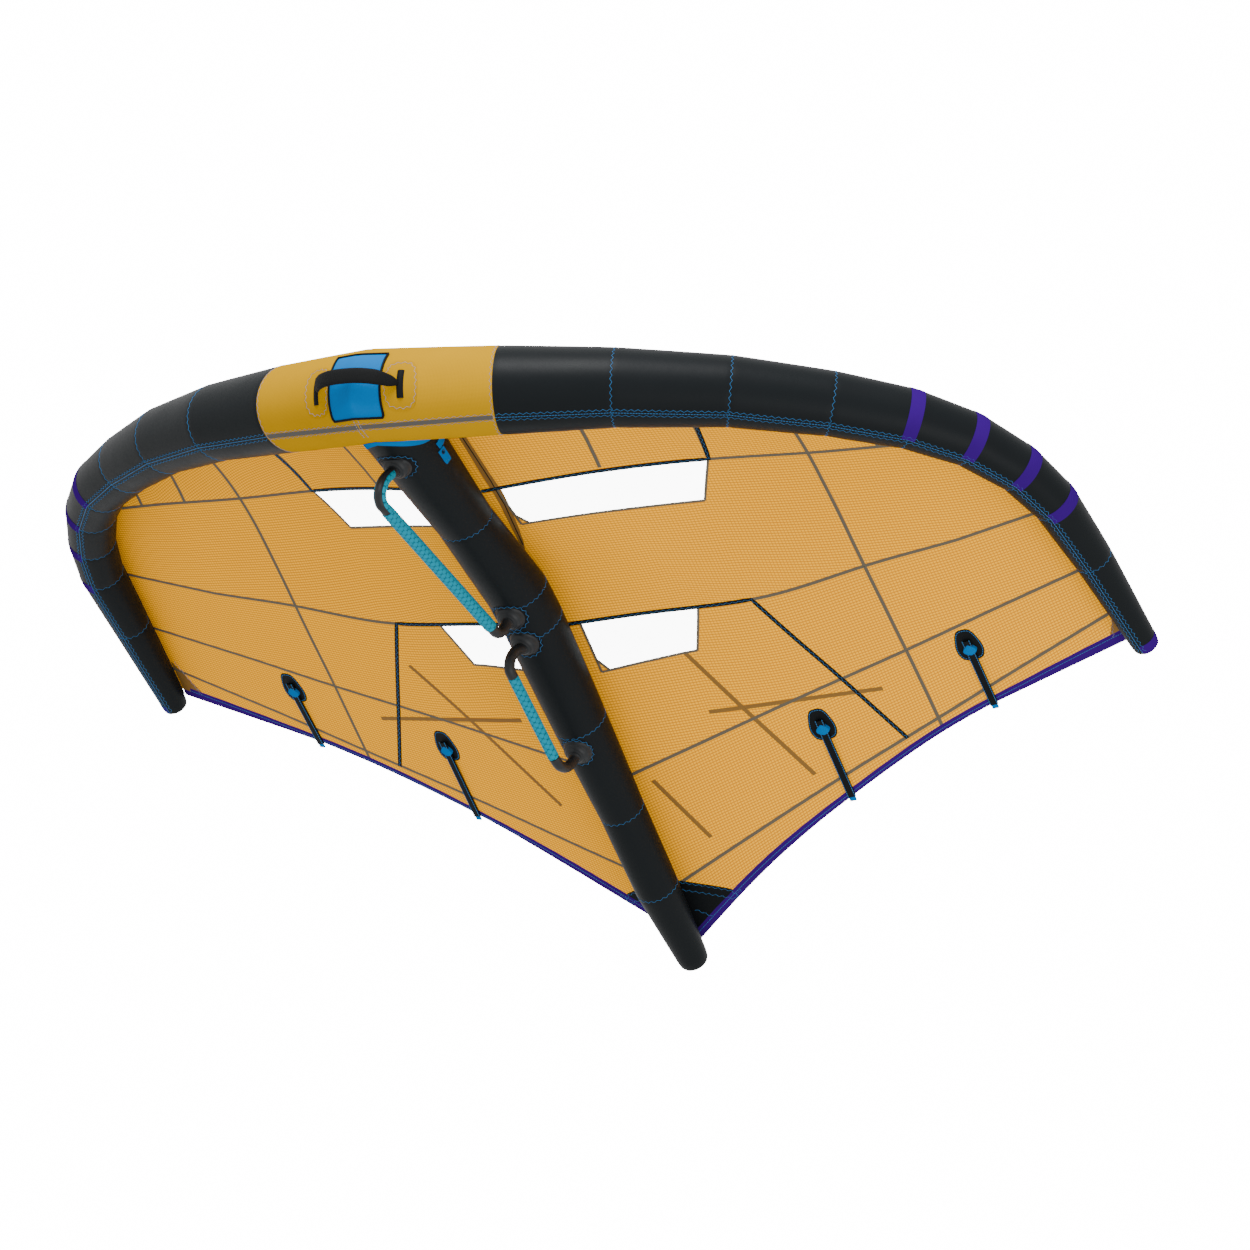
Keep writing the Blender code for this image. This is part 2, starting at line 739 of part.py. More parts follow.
def make_hem(side, mirrored):
    """The folded hem along the trailing edge."""
    last = len(SEAM_END_SHARES) - 2
    grid = []
    for line in (1, 0):
        points = []
        for column in range(COLUMNS):
            length = band_length(column, last)
            points.append(column_point(column, last + 1 - line * HEM_WIDTH / length))
        points[-1] = points[-1] + HEM_END_SHARE * (points[-2] - points[-1])
        grid.append(points)
    purple = material("purple_hem_cloth", PURPLE_CLOTH, 0.6)
    cloth_sheet(f"trailing_hem_{side}", grid, lambda i, j: True, HEM_THICKNESS, purple, mirrored)


# Battens


def pocket_frame(index):
    """Front end, rear end, sideways direction and downward direction of a pocket's top face."""
    columns = POCKET_COLUMNS[index]
    start = BATTEN_FRONT_SHARES[index] * CHORD
    lines = []
    for column in columns:
        bands = [*band_rows(3), *band_rows(4)[1:]]
        points = np.array([column_point(column, band) for band in bands])
        height = np.interp(start, points[:, 1], points[:, 2])
        front = np.array([points[0, 0], start, height])
        lines.append(np.vstack([front, points[points[:, 1] > start]]))
    front = (lines[0][0] + lines[1][0]) / 2
    rear = (lines[0][-1] + lines[1][-1]) / 2
    along = unit(rear - front)
    side = unit(lines[1][0] - lines[0][0] + lines[1][-1] - lines[0][-1])
    down = unit(np.cross(side, along) * -1)
    side = np.cross(along, down) * -1
    lowest = max(float(np.max((line - front) @ down)) for line in lines)
    drop = lowest + HEM_THICKNESS / 2 + GAP
    return front + drop * down, rear + drop * down, side, down


def flat_loop(centre, side, down, width, height):
    """Four corners of a flat bar's section below a centre point, for a path to the rear."""
    half = side * width / 2
    low = down * height
    return np.array([centre - half, centre + half, centre + half + low, centre - half + low])


def make_batten(index, side_name, mirrored):
    front, rear, side, down = pocket_frame(index)
    along = unit(rear - front)
    place = ("inner", "outer")[index]
    cloth = material("pocket_cloth", TUBE_CLOTH, 0.7)
    outer = [flat_loop(end, side, down, POCKET_WIDTH, POCKET_HEIGHT) for end in (front, rear)]
    bore = (front + along * POCKET_WALL + down * POCKET_WALL, rear + down * POCKET_WALL)
    size = (POCKET_WIDTH - 2 * POCKET_WALL, POCKET_HEIGHT - 2 * POCKET_WALL)
    inner = [flat_loop(end, side, down, *size) for end in bore]
    shell(f"batten_pocket_{place}_{side_name}", outer, inner, cloth, start_closed=True, mirrored=mirrored)
    middle = down * (POCKET_HEIGHT - BATTEN_THICKNESS) / 2
    start = front + middle + along * (POCKET_WALL + BATTEN_PLAY)
    end = rear + middle + along * BATTEN_TAB
    loops = [flat_loop(point, side, down, BATTEN_WIDTH, BATTEN_THICKNESS) for point in (start, end)]
    glass = material("glass_fibre", GLASS_FIBRE, 0.4)
    pivot = start * MIRROR if mirrored else start
    solid(f"batten_{place}_{side_name}", loops, glass, mirrored, pivot)


# Handles under the strut


def socket_face(index):
    """The middle of a socket's flat outer face."""
    place = SOCKET_PLACE_SHARES[index] * CHORD
    return np.array([0, place, strut_bottom(place) - SOCKET_HEIGHT])


def make_socket(index, strut_guide):
    face = socket_face(index)
    profile = (
        (0, SOCKET_TOP_RADIUS),
        (0.25 * SOCKET_HEIGHT, 1.25 * SOCKET_TOP_RADIUS),
        (0.7 * SOCKET_HEIGHT, 0.92 * SOCKET_RADIUS),
        (SOCKET_HEIGHT, SOCKET_RADIUS),
        (SOCKET_HEIGHT + SOCKET_SINK, SOCKET_RADIUS),
    )
    across = np.array([1.0, 0, 0])
    rear = np.array([0, 1.0, 0])
    loops = [round_loop(face + UP * up, across, rear, radius, TUBE_SIDES) for up, radius in profile]
    plastic = material("dark_moulded_plastic", DARK_PLASTIC, 0.45)
    made = solid(f"handle_socket_{index + 1}", loops, plastic)
    combine(made, strut_guide)


def handle_points(shares, sockets, drop):
    """A handle's path from socket to socket, from shares along it and below it."""
    start, end = (socket_face(index) - UP * GAP for index in sockets)
    return [start + along * (end - start) - UP * down * drop for along, down in shares]


def rounded(points, steps):
    """A path with each stretch split by a Catmull-Rom curve."""
    path = [points[0]]
    for i in range(len(points) - 1):
        before = points[max(i - 1, 0)]
        after = points[min(i + 2, len(points) - 1)]
        for step in range(1, steps + 1):
            t = step / steps
            a, b, c, d = before, points[i], points[i + 1], after
            path.append(0.5 * (
                2 * b + (c - a) * t + (2 * a - 5 * b + 4 * c - d) * t**2 + (3 * b - a - 3 * c + d) * t**3
            ))
    return path


def sweep_loops(path, radii, sides):
    """Round sections along a path in the mirror plane, square to it."""
    across = np.array([1.0, 0, 0])
    loops = []
    for i, (point, radius) in enumerate(zip(path, radii)):
        along = path[min(i + 1, len(path) - 1)] - path[max(i - 1, 0)]
        loops.append(round_loop(point, across, np.cross(unit(along), across), radius, sides))
    return loops


def make_handle(name, shares, sockets, drop, grip_radius):
    points = handle_points(shares, sockets, drop)
    front = rounded(points[:GRIP_START + 1], BEND_STEPS)
    rear = rounded(points[GRIP_START + 1:], BEND_STEPS)
    along = unit(rear[0] - front[-1])
    front[0] = points[0]
    step = along * GAP
    path = [*front, front[-1] + step, rear[0] - step, *rear]
    radii = [HANDLE_END_RADIUS] * len(front) + [HANDLE_BAR_RADIUS] * 2 + [HANDLE_END_RADIUS] * len(rear)
    loops = sweep_loops(path, radii, HANDLE_SIDES)
    # The ends stand flat on their sockets, and the shoulders are square to the grip.
    across = np.array([1.0, 0, 0])
    rear_direction = np.array([0, 1.0, 0])
    loops[0] = round_loop(path[0], across, -rear_direction, HANDLE_END_RADIUS, HANDLE_SIDES)
    loops[-1] = round_loop(path[-1], across, rear_direction, HANDLE_END_RADIUS, HANDLE_SIDES)
    upward = np.cross(along, across)
    for index in range(len(front) - 1, len(front) + 3):
        loops[index] = round_loop(path[index], across, upward, radii[index], HANDLE_SIDES)
    plastic = material("dark_moulded_plastic", DARK_PLASTIC, 0.45)
    solid(f"{name}_handle_frame", loops, plastic)
    ends = (front[-1] + 2 * step, rear[0] - 2 * step)
    outer = [round_loop(end, across, upward, grip_radius, HANDLE_SIDES) for end in ends]
    inner = [round_loop(end, across, upward, HANDLE_BAR_RADIUS + GAP, HANDLE_SIDES) for end in ends]
    shell(f"{name}_handle_grip", outer, inner, material("teal_grip_foam", TEAL_FOAM, 0.7))


def front_grip_middle():
    points = handle_points(FRONT_HANDLE_SHARES, (0, 1), FRONT_HANDLE_DROP)
    return (points[GRIP_START] + points[GRIP_START + 1]) / 2


# Handle, pad and tab on the leading edge


def strap_axis():
    """The middle of the line through the strap's two ends, and the outward direction there."""
    share = STRAP_HALF_LENGTH / (RING_SPAN_SHARES[1] * HALF_SPAN)
    centre = ring_centres()[1] * share
    radius = TUBE_RADIUS * (1 - share + share * RING_RADIUS_SHARES[1])
    outward = np.array([0, math.cos(STRAP_ANGLE), math.sin(STRAP_ANGLE)])
    end = centre + outward * (radius + STRAP_SIZE_SHARES[0] * STRAP_HALF_THICKNESS + STRAP_SEAT)
    return np.array([0, end[1], end[2]]), outward


def make_strap():
    axis, outward = strap_axis()
    raised = np.cross(outward, np.array([1.0, 0, 0]))
    if raised[2] < 0:
        raised = -raised
    crown = outward * (TUBE_RADIUS + STRAP_STAND_OFF) + raised * STRAP_LIFT - axis
    right = [
        axis + crown * bulge + np.array([along * STRAP_HALF_LENGTH, 0, 0]) for along, bulge in STRAP_SHARES
    ]
    points = [point * MIRROR for point in right] + right[-2::-1]
    path = rounded(points, STRAP_STEPS)
    sizes = [*STRAP_SIZE_SHARES, *STRAP_SIZE_SHARES[-2::-1]]
    loops = []
    for i, point in enumerate(path):
        along = unit(path[min(i + 1, len(path) - 1)] - path[max(i - 1, 0)])
        thick = unit(outward - (outward @ along) * along)
        size = np.interp(i / STRAP_STEPS, range(len(sizes)), sizes)
        width = STRAP_HALF_WIDTH * size
        loops.append(round_loop(
            point, thick, np.cross(along, thick), STRAP_HALF_THICKNESS * size, HANDLE_SIDES, width
        ))
    webbing = material("handle_webbing", DARK_PLASTIC, 0.8)
    solid("le_handle_strap", loops, webbing, pivot=axis)


def make_pad():
    """A pad of even thickness wrapped round the front and bottom of the tube's centre."""
    place = PAD_HALF_LENGTH / (RING_SPAN_SHARES[1] * HALF_SPAN)
    first, last = PAD_SIDES
    sides = range(first, last + 1)
    loops = []
    for loop_place, mirrored in ((place, True), (0, False), (place, False)):
        low = tube_loop(loop_place, GAP)
        high = tube_loop(loop_place, GAP + PAD_THICKNESS)
        loop = np.array([high[side] for side in sides] + [low[side] for side in reversed(sides)])
        loops.append(loop * MIRROR if mirrored else loop)
    solid("le_handle_pad", loops, material("blue_pad_cloth", BLUE_CLOTH, 0.6))


def make_leash_tab():
    """A flat tab with a hole, on the strut's side beside the leading edge."""
    start = strut_stations()[0][FIRST_FREE_STATION] + TAB_SET_BACK
    near, far = (strut_loop(place)[:2] for place in (start, start + TAB_LENGTH))
    along = unit(far.mean(axis=0) - near.mean(axis=0))
    side = unit(near[1] - near[0])
    outward = np.cross(side, along)
    base = near.mean(axis=0) + outward * GAP
    rear = base + along * TAB_LENGTH
    corners = []
    for end in (base, rear):
        half = side * TAB_WIDTH / 2
        thick = outward * TAB_THICKNESS
        corners.append(np.array([end - half, end - half + thick, end + half + thick, end + half]))
    cloth = material("blue_webbing", BLUE_CLOTH, 0.6)
    tab = solid("leash_tab", corners, cloth)
    eye = base + along * TAB_WIDTH / 2
    ends = (eye - outward * CUT_OVERRUN, eye + outward * CUT_OVERRUN)
    hole = [round_loop(end, side, along, TAB_HOLE_RADIUS, HANDLE_SIDES) for end in ends]
    combine(tab, guide(solid("leash_hole", hole, cloth)))


# Inflation valve


def valve_frame():
    """Seat of the valve on the tube, its outward direction and the direction towards the tip."""
    loop = tube_loop(VALVE_SPAN_SHARE)
    centre = loop.mean(axis=0)
    seat = loop[VALVE_SIDE]
    outward = unit(seat - centre)
    toward_tip = unit(tube_loop(1)[VALVE_SIDE] - tube_loop(0)[VALVE_SIDE])
    outward = unit(outward - (outward @ toward_tip) * toward_tip)
    return seat, outward, toward_tip


def turned(profile, seat, outward, across, sides):
    other = np.cross(outward, across)
    return [round_loop(seat + outward * up, across, other, radius, sides) for up, radius in profile]


def make_valve(tube_guide, holed):
    seat, outward, toward_tip = valve_frame()
    plastic = material("dark_moulded_plastic", DARK_PLASTIC, 0.45)
    outer = (
        (-VALVE_FLANGE_HEIGHT * 2, VALVE_FLANGE_RADIUS),
        (VALVE_FLANGE_HEIGHT, VALVE_FLANGE_RADIUS),
        (VALVE_FLANGE_HEIGHT * 1.3, VALVE_COLLAR_RADIUS * 1.15),
        (VALVE_FLANGE_HEIGHT * 1.8, VALVE_COLLAR_RADIUS),
        (VALVE_COLLAR_HEIGHT, VALVE_COLLAR_RADIUS),
    )
    body = solid("valve_body", turned(outer, seat, outward, toward_tip, TUBE_SIDES), plastic)
    combine(body, tube_guide)
    neck = ((-VALVE_NECK_DEPTH, VALVE_NECK_RADIUS), (VALVE_FLANGE_HEIGHT, VALVE_NECK_RADIUS))
    neck_loops = turned(neck, seat, outward, toward_tip, TUBE_SIDES)
    combine(body, guide(solid("valve_neck", neck_loops, plastic)), "UNION")
    bore = (
        (-VALVE_NECK_DEPTH - CUT_OVERRUN, VALVE_BORE_RADIUS),
        (VALVE_COLLAR_HEIGHT + CUT_OVERRUN, VALVE_BORE_RADIUS),
    )
    combine(body, guide(solid("valve_bore", turned(bore, seat, outward, toward_tip, TUBE_SIDES), plastic)))
    hole = (
        (-VALVE_NECK_DEPTH, VALVE_NECK_RADIUS + GAP),
        (CUT_OVERRUN, VALVE_NECK_RADIUS + GAP),
    )
    cutter = guide(solid("valve_hole", turned(hole, seat, outward, toward_tip, TUBE_SIDES), plastic))
    for piece in holed:
        combine(piece, cutter)
    make_cap(seat, outward, toward_tip, plastic)


def make_cap(seat, outward, toward_tip, plastic):
    """The hinged cap: a disc with an ear that reaches to the hinge line."""
    low = VALVE_COLLAR_HEIGHT + GAP
    centre = seat + outward * low
    side = np.cross(outward, toward_tip)
    reach = VALVE_COLLAR_RADIUS + CAP_EAR_LENGTH
    half = CAP_EAR_WIDTH / 2
    start = math.asin(half / VALVE_COLLAR_RADIUS)
    turns = np.linspace(start, 2 * math.pi - start, TUBE_SIDES)
    rim = [VALVE_COLLAR_RADIUS * (toward_tip * math.cos(a) + side * math.sin(a)) for a in turns]
    outline = np.array([*rim, toward_tip * reach - side * half, toward_tip * reach + side * half])
    pivot = centre + toward_tip * reach
    loops = [centre + outline, centre + outline + outward * CAP_THICKNESS]
    solid("valve_cap", loops, plastic, pivot=pivot)


# Assembly


def main():
    tube_guide = make_tube_guide()
    strut_guide = make_strut_guide()
    centre_panel = make_leading_edge()
    tube_bladder = make_tube_bladder()
    make_strut(tube_guide)
    strut_bladder = make_strut_bladder()
    make_hose((centre_panel, tube_bladder, strut_bladder))
    make_valve(tube_guide, (centre_panel, tube_bladder))
    for side, mirrored in (("right", False), ("left", True)):
        make_canopy(side, mirrored)
        make_hem(side, mirrored)
        for index in range(len(BATTEN_PLACE_SHARES)):
            make_batten(index, side, mirrored)
    for index in range(len(SOCKET_PLACE_SHARES)):
        make_socket(index, strut_guide)
    make_handle("front", FRONT_HANDLE_SHARES, (0, 1), FRONT_HANDLE_DROP, FRONT_GRIP_RADIUS)
    make_handle("rear", REAR_HANDLE_SHARES, (2, 3), REAR_HANDLE_DROP, REAR_GRIP_RADIUS)
    make_strap()
    make_pad()
    make_leash_tab()
    BASE.location = Vector(-front_grip_middle())


clear_scene()
BASE = bpy.data.objects.new("wing_base", None)
bpy.context.scene.collection.objects.link(BASE)
main()
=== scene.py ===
"""Looks of an inflatable hand-held wing for wing foiling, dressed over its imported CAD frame.

Shapes are worked out in the part's design space: X along the span, Y from the leading edge to the
tail, Z up on the canopy's side, and zero at the centre of the leading-edge tube. BASE moves them
to the frame. Three surfaces carry everything sewn on: the leading-edge tube, the strut and the
canopy. Each is a function of two places and a lift, so a patch, a tape or a stitch follows it.
"""
import math
from functools import lru_cache

import bpy
import numpy as np
from bpy.props import FloatProperty, FloatVectorProperty, PointerProperty
from mathutils import Matrix, Vector
from mathutils.bvhtree import BVHTree


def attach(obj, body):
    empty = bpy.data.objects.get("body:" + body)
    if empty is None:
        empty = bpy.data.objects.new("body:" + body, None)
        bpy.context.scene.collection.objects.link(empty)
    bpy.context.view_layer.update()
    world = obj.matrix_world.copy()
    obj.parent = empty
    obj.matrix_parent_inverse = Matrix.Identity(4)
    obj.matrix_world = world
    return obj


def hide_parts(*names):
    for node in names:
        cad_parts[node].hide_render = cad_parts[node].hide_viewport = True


bl_info = {
    "name": "Inflatable foil wing",
    "version": (1, 0, 0),
    "blender": (4, 5, 0),
    "location": "3D View > Sidebar > Wing",
    "description": "Dresses an inflatable foil wing: tubes, canopy, handles, trims and stitches",
    "category": "Object",
}

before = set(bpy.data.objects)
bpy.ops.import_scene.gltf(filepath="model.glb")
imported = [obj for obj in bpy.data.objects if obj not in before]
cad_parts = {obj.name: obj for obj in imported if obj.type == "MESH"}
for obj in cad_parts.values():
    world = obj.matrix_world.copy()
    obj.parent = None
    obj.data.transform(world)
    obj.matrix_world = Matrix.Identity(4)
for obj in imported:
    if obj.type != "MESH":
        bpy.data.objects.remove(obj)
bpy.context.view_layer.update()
SIDES = ((1, "right"), (-1, "left"))
MIRROR = np.array([-1.0, 1.0, 1.0])
UP = np.array([0.0, 0.0, 1.0])
ACROSS = np.array([1.0, 0.0, 0.0])
REARWARDS = np.array([0.0, 1.0, 0.0])

# Overall shape, as in the part
HALF_SPAN = 1.45
SWEEP = 1.36
TIP_RISE = 0.444
CHORD = 2.046
TUBE_RADIUS = 0.115
STRUT_RADIUS = 0.081
STRUT_HEIGHT = 0.146
GAP = 0.0003
TUBE_WALL = 0.001
RING_SPAN_SHARES = (0, 0.21, 0.394, 0.564, 0.706, 0.814, 0.888, 0.941, 0.970, 0.984, 1)
RING_SWEEP_SHARES = (0, 0.051, 0.102, 0.178, 0.265, 0.343, 0.426, 0.521, 0.617, 0.770, 1)
RING_RISE_SHARES = (0, 0.146, 0.277, 0.448, 0.597, 0.703, 0.793, 0.860, 0.901, 0.950, 1)
RING_RADIUS_SHARES = (1, 0.948, 0.852, 0.765, 0.699, 0.650, 0.597, 0.548, 0.510, 0.430, 0.299)
TIP_DOME = 0.012
STRUT_PLACE_SHARES = (0.034, 0.098, 0.242, 0.382, 0.434, 0.596, 0.744, 0.873, 1)
STRUT_HEIGHT_SHARES = (0.03, 0.23, 0.60, 0.986, 1, 0.863, 0.753, 0.623, 0.596)
STRUT_RADIUS_SHARES = (1.11, 1.086, 0.90, 1, 0.988, 0.889, 0.753, 0.716, 0.506)
TAIL_DOME = 0.022

# Canopy, as in the part
CANOPY_THICKNESS = 0.001
SEAM_ANGLE = math.radians(60)
SEAM_COLUMN_SHARES = (0, 0.2, 0.39, 0.586, 0.76)
SEAM_PLACE_SHARES = (
    (0.227, 0.244, 0.270, 0.289, 0.299),
    (0.477, 0.484, 0.491, 0.473, 0.459),
    (0.721, 0.683, 0.648, 0.612, 0.578),
    (0.902, 0.838, 0.781, 0.725, 0.6745),
    (0.995, 0.8895, 0.813, 0.745, 0.707),
)
SEAM_HEIGHT_SHARES = (
    (0.36, 0.552, 0.732, 0.822, 0.883),
    (0.50, 0.604, 0.705, 0.818, 0.908),
    (0.40, 0.534, 0.671, 0.800, 0.919),
    (0.33, 0.473, 0.626, 0.777, 0.910),
    (0.30, 0.439, 0.624, 0.777, 0.914),
)
SEAM_END_SHARES = (5.6, 6.4, 8.27, 9.17, 9.65, 9.97)
BANDS = len(SEAM_END_SHARES) - 1
STRUT_BLEND_SHARE = 0.2
HEM_WIDTH = 0.022
HEM_THICKNESS = 0.0022
HEM_END_SHARE = 0.05
WINDOW_REAR_SHARES = (1.3, 2.32)
WINDOW_START_SHARE = 0.045
FRONT_WINDOW_SHARES = (0.40, 0.359)
REAR_WINDOW_SHARES = (0.264, 0.228)
COLUMNS = 14
WINDOW_LAST_COLUMNS = (6, 3)

# Battens, as in the part
BATTEN_PLACE_SHARES = (0.386, 0.694)
BATTEN_FRONT_SHARES = (0.69, 0.615)
POCKET_WIDTH = 0.022
POCKET_WALL = 0.001
BATTEN_THICKNESS = 0.0025
POCKET_HEIGHT = BATTEN_THICKNESS + 2 * (POCKET_WALL + GAP)
BATTEN_TAB = 0.012

# Handles, pad and tab, as in the part
SOCKET_PLACE_SHARES = (0.0895, 0.393, 0.4375, 0.618)
SOCKET_HEIGHT = 0.016
SOCKET_RADIUS = 0.036
FRONT_HANDLE_DROP = 0.105
REAR_HANDLE_DROP = 0.084
FRONT_HANDLE_SHARES = (
    (0, 0), (-0.024, 0.38), (-0.014, 0.78), (0.024, 0.99), (0.0725, 0.981),
    (0.924, 0.54), (0.969, 0.50), (0.994, 0.32), (1, 0),
)
REAR_HANDLE_SHARES = (
    (0, 0), (-0.046, 0.365), (-0.050, 0.723), (-0.0136, 0.964), (0.0488, 0.993),
    (0.802, 0.948), (0.894, 0.862), (0.967, 0.588), (1, 0.2), (1, 0),
)
GRIP_START = 4
FRONT_GRIP_RADIUS = 0.0165
REAR_GRIP_RADIUS = 0.0145
HANDLE_END_RADIUS = 0.014
HANDLE_BAR_RADIUS = 0.010
STRAP_HALF_LENGTH = 0.116
STRAP_ANGLE = math.radians(-143)
STRAP_HALF_WIDTH = 0.015
STRAP_HALF_THICKNESS = 0.0055
STRAP_STAND_OFF = 0.030
STRAP_LIFT = 0.018  # worn a little lower than the part's
STRAP_SHARES = ((1, 0), (0.90, 0.28), (0.68, 0.70), (0.36, 0.94), (0, 1))
STRAP_SIZE_SHARES = (0.35, 0.72, 1, 1, 1)
STRAP_WIDTH_SHARES = (0.32, 0.95, 1.25, 1.28, 1.28)
STRAP_SEAT = 0.0040
PAD_THICKNESS = 0.003
TAB_LENGTH = 0.050
TAB_WIDTH = 0.024
TAB_THICKNESS = 0.003
TAB_HOLE_RADIUS = 0.004
TAB_SET_BACK = 0.002
VALVE_SPAN_SHARE = 0.66
VALVE_FLANGE_RADIUS = 0.022
VALVE_FLANGE_HEIGHT = 0.003
VALVE_COLLAR_RADIUS = 0.013
VALVE_COLLAR_HEIGHT = 0.012
VALVE_BORE_RADIUS = 0.007
CAP_THICKNESS = 0.004
CAP_EAR_LENGTH = 0.003
CAP_EAR_WIDTH = 0.008

# Finer shape that only the looks have
TUBE_SIDES = 96
PANEL_STEPS = 12
SWELL_SHARE = 0.004  # how far an inflated panel swells between its seams, of its radius
CREASE_DEPTH = 0.0009
CREASE_WIDTH = 0.006
COLUMN_STEPS = 5
ROW_STEPS = 14
LINE_SPACING = 0.012
TRIM_THICKNESS = 0.0009

# Camera, worked out from features that show on both halves of the wing
CAMERA_PLACE = (8.3798, -9.0402, -10.6216)
CAMERA_RIGHT = (0.86911, 0.3724, 0.32554)
CAMERA_FORWARD = (-0.4912, 0.57247, 0.65651)
CAMERA_LENS = 189.21
CAMERA_SENSOR = 36.0


def linear(code):
    """Linear red, green, blue and one from an sRGB hex code."""
    parts = [int(code[i:i + 2], 16) / 255 for i in (0, 2, 4)]
    return (*(p / 12.92 if p <= 0.04045 else ((p + 0.055) / 1.055) ** 2.4 for p in parts), 1.0)


def colour_property(name, description, code):
    return FloatVectorProperty(
        name=name, description=description, default=linear(code), subtype="COLOR", size=4, min=0, max=1
    )


def length_property(name, description, default):
    return FloatProperty(
        name=name, description=description, default=default, min=0, unit="LENGTH", subtype="DISTANCE"
    )


class WingColours(bpy.types.PropertyGroup):
    """Colours of the cloths, films, foams and threads."""

    tube: colour_property("Tube cloth", "Dark cloth of the leading edge and the strut", "101315")
    centre: colour_property("Centre cloth", "Yellow cloth of the leading edge's centre", "A07702")
    canopy: colour_property("Canopy cloth", "Sand ripstop between its threads", "FFB10A")
    canopy_thread: colour_property("Ripstop thread", "Heavier threads of the canopy's grid", "B4690E")
    hem: colour_property("Hem", "Purple cloth along the trailing edge", "2E0560")
    band: colour_property("Seam band", "Purple cloth over the outer ring seams", "2E0460")
    trim: colour_property("Black trim", "Tapes, patches and pockets", "0C0E10")
    seam: colour_property("Canopy seam", "Grey tape over the canopy's seams", "564F42")
    strip: colour_property("Strip", "Brown strips and corner cloth", "745428")
    thread: colour_property("Thread", "Blue sewing thread", "286394")
    slate: colour_property("Slate thread", "Grey-blue sewing thread on the yellow cloth", "857E8C")
    grip: colour_property("Grip", "Teal foam of the grips", "007A92")
    mould: colour_property("Moulded parts", "Sockets, handle ends and valve", "191B1D")
    webbing: colour_property("Webbing", "Black webbing of the leading-edge handle", "0A0B0C")
    pad: colour_property("Pad", "Blue cloth of the pad, the collar and the tab", "0B5C98")
    film: colour_property("Film", "Clear film of the windows", "F4F7F8")


class WingSizes(bpy.types.PropertyGroup):
    """Sizes of the cloth's patterns, the trims and the stitches."""

    grid: length_property("Ripstop grid", "Distance between the canopy's heavier threads", 0.0086)
    weave: length_property("Tube weave", "Distance between threads of the tubes' cloth", 0.0042)
    seam: length_property("Seam width", "Width of the grey tape over a canopy seam", 0.0100)
    tape: length_property("Tape width", "Width of the black tape beside the windows", 0.0125)
    band: length_property("Band width", "Width of the purple bands on the tube", 0.034)
    half_period: length_property("Zigzag step", "Distance between two turns of a zigzag", 0.0085)
    swing: length_property("Zigzag width", "Width of a zigzag row", 0.0055)
    thread: length_property("Thread radius", "Radius of the sewing thread", 0.0007)
    dash: length_property("Stitch length", "Length of a straight stitch", 0.005)


# Numbers and surfaces


def unit(vectors):
    vectors = np.asarray(vectors, float)
    return vectors / np.linalg.norm(vectors, axis=-1, keepdims=True)


@lru_cache(maxsize=None)
def bend_matrix(knots):
    """Turns the values at the knots into the natural spline's second derivatives there."""
    count = len(knots)
    step = np.diff(knots)
    matrix = np.eye(count)
    right = np.zeros((count, count))
    for i in range(1, count - 1):
        matrix[i, i - 1:i + 2] = step[i - 1], 2 * (step[i - 1] + step[i]), step[i]
        right[i, i - 1:i + 2] = 6 / step[i - 1], -6 / step[i - 1] - 6 / step[i], 6 / step[i]
    return np.linalg.solve(matrix, right)


def natural_spline(knots, values, place):
    """Natural cubic splines through values, one row each or the same for all, at the places."""
    knots = tuple(float(knot) for knot in knots)
    place = np.asarray(place, float)
    values = np.broadcast_to(np.asarray(values, float), (len(place), len(knots)))
    bend = values @ bend_matrix(knots).T
    knots = np.array(knots)
    index = np.clip(np.searchsorted(knots, place) - 1, 0, len(knots) - 2)
    row = np.arange(len(place))
    step = knots[index + 1] - knots[index]
    along = place - knots[index]
    rise = (values[row, index + 1] - values[row, index]) / step
    first = rise - step * (2 * bend[row, index] + bend[row, index + 1]) / 6
    third = (bend[row, index + 1] - bend[row, index]) / (6 * step)
    return values[row, index] + along * (first + along * (bend[row, index] / 2 + along * third))


@lru_cache(maxsize=None)
def ring_frames():
    """Centres, rear directions, up directions, radii and stretch lengths of the tube's rings."""
    centres = np.stack([
        np.array(RING_SPAN_SHARES) * HALF_SPAN,
        np.array(RING_SWEEP_SHARES) * SWEEP,
        np.array(RING_RISE_SHARES) * TIP_RISE,
    ], axis=1)
    steps = np.diff(centres, axis=0)
    before = np.vstack([centres[1] * -MIRROR, steps])
    after = np.vstack([steps, steps[-1]])
    along = unit(unit(before) + unit(after))
    along[0] = ACROSS
    rear = unit(np.cross(UP, along))
    radii = np.array(RING_RADIUS_SHARES) * TUBE_RADIUS
    return centres, along, rear, np.cross(along, rear), radii, np.linalg.norm(steps, axis=1)


def panel_swell(share, length, radius):
    """How far an inflated panel stands out between its seams, and the crease at each seam."""
    swell = SWELL_SHARE * radius * 4 * share * (1 - share)
    crease = np.exp(-(share * length / CREASE_WIDTH) ** 2)
    crease += np.exp(-((1 - share) * length / CREASE_WIDTH) ** 2)
    return swell - CREASE_DEPTH * crease


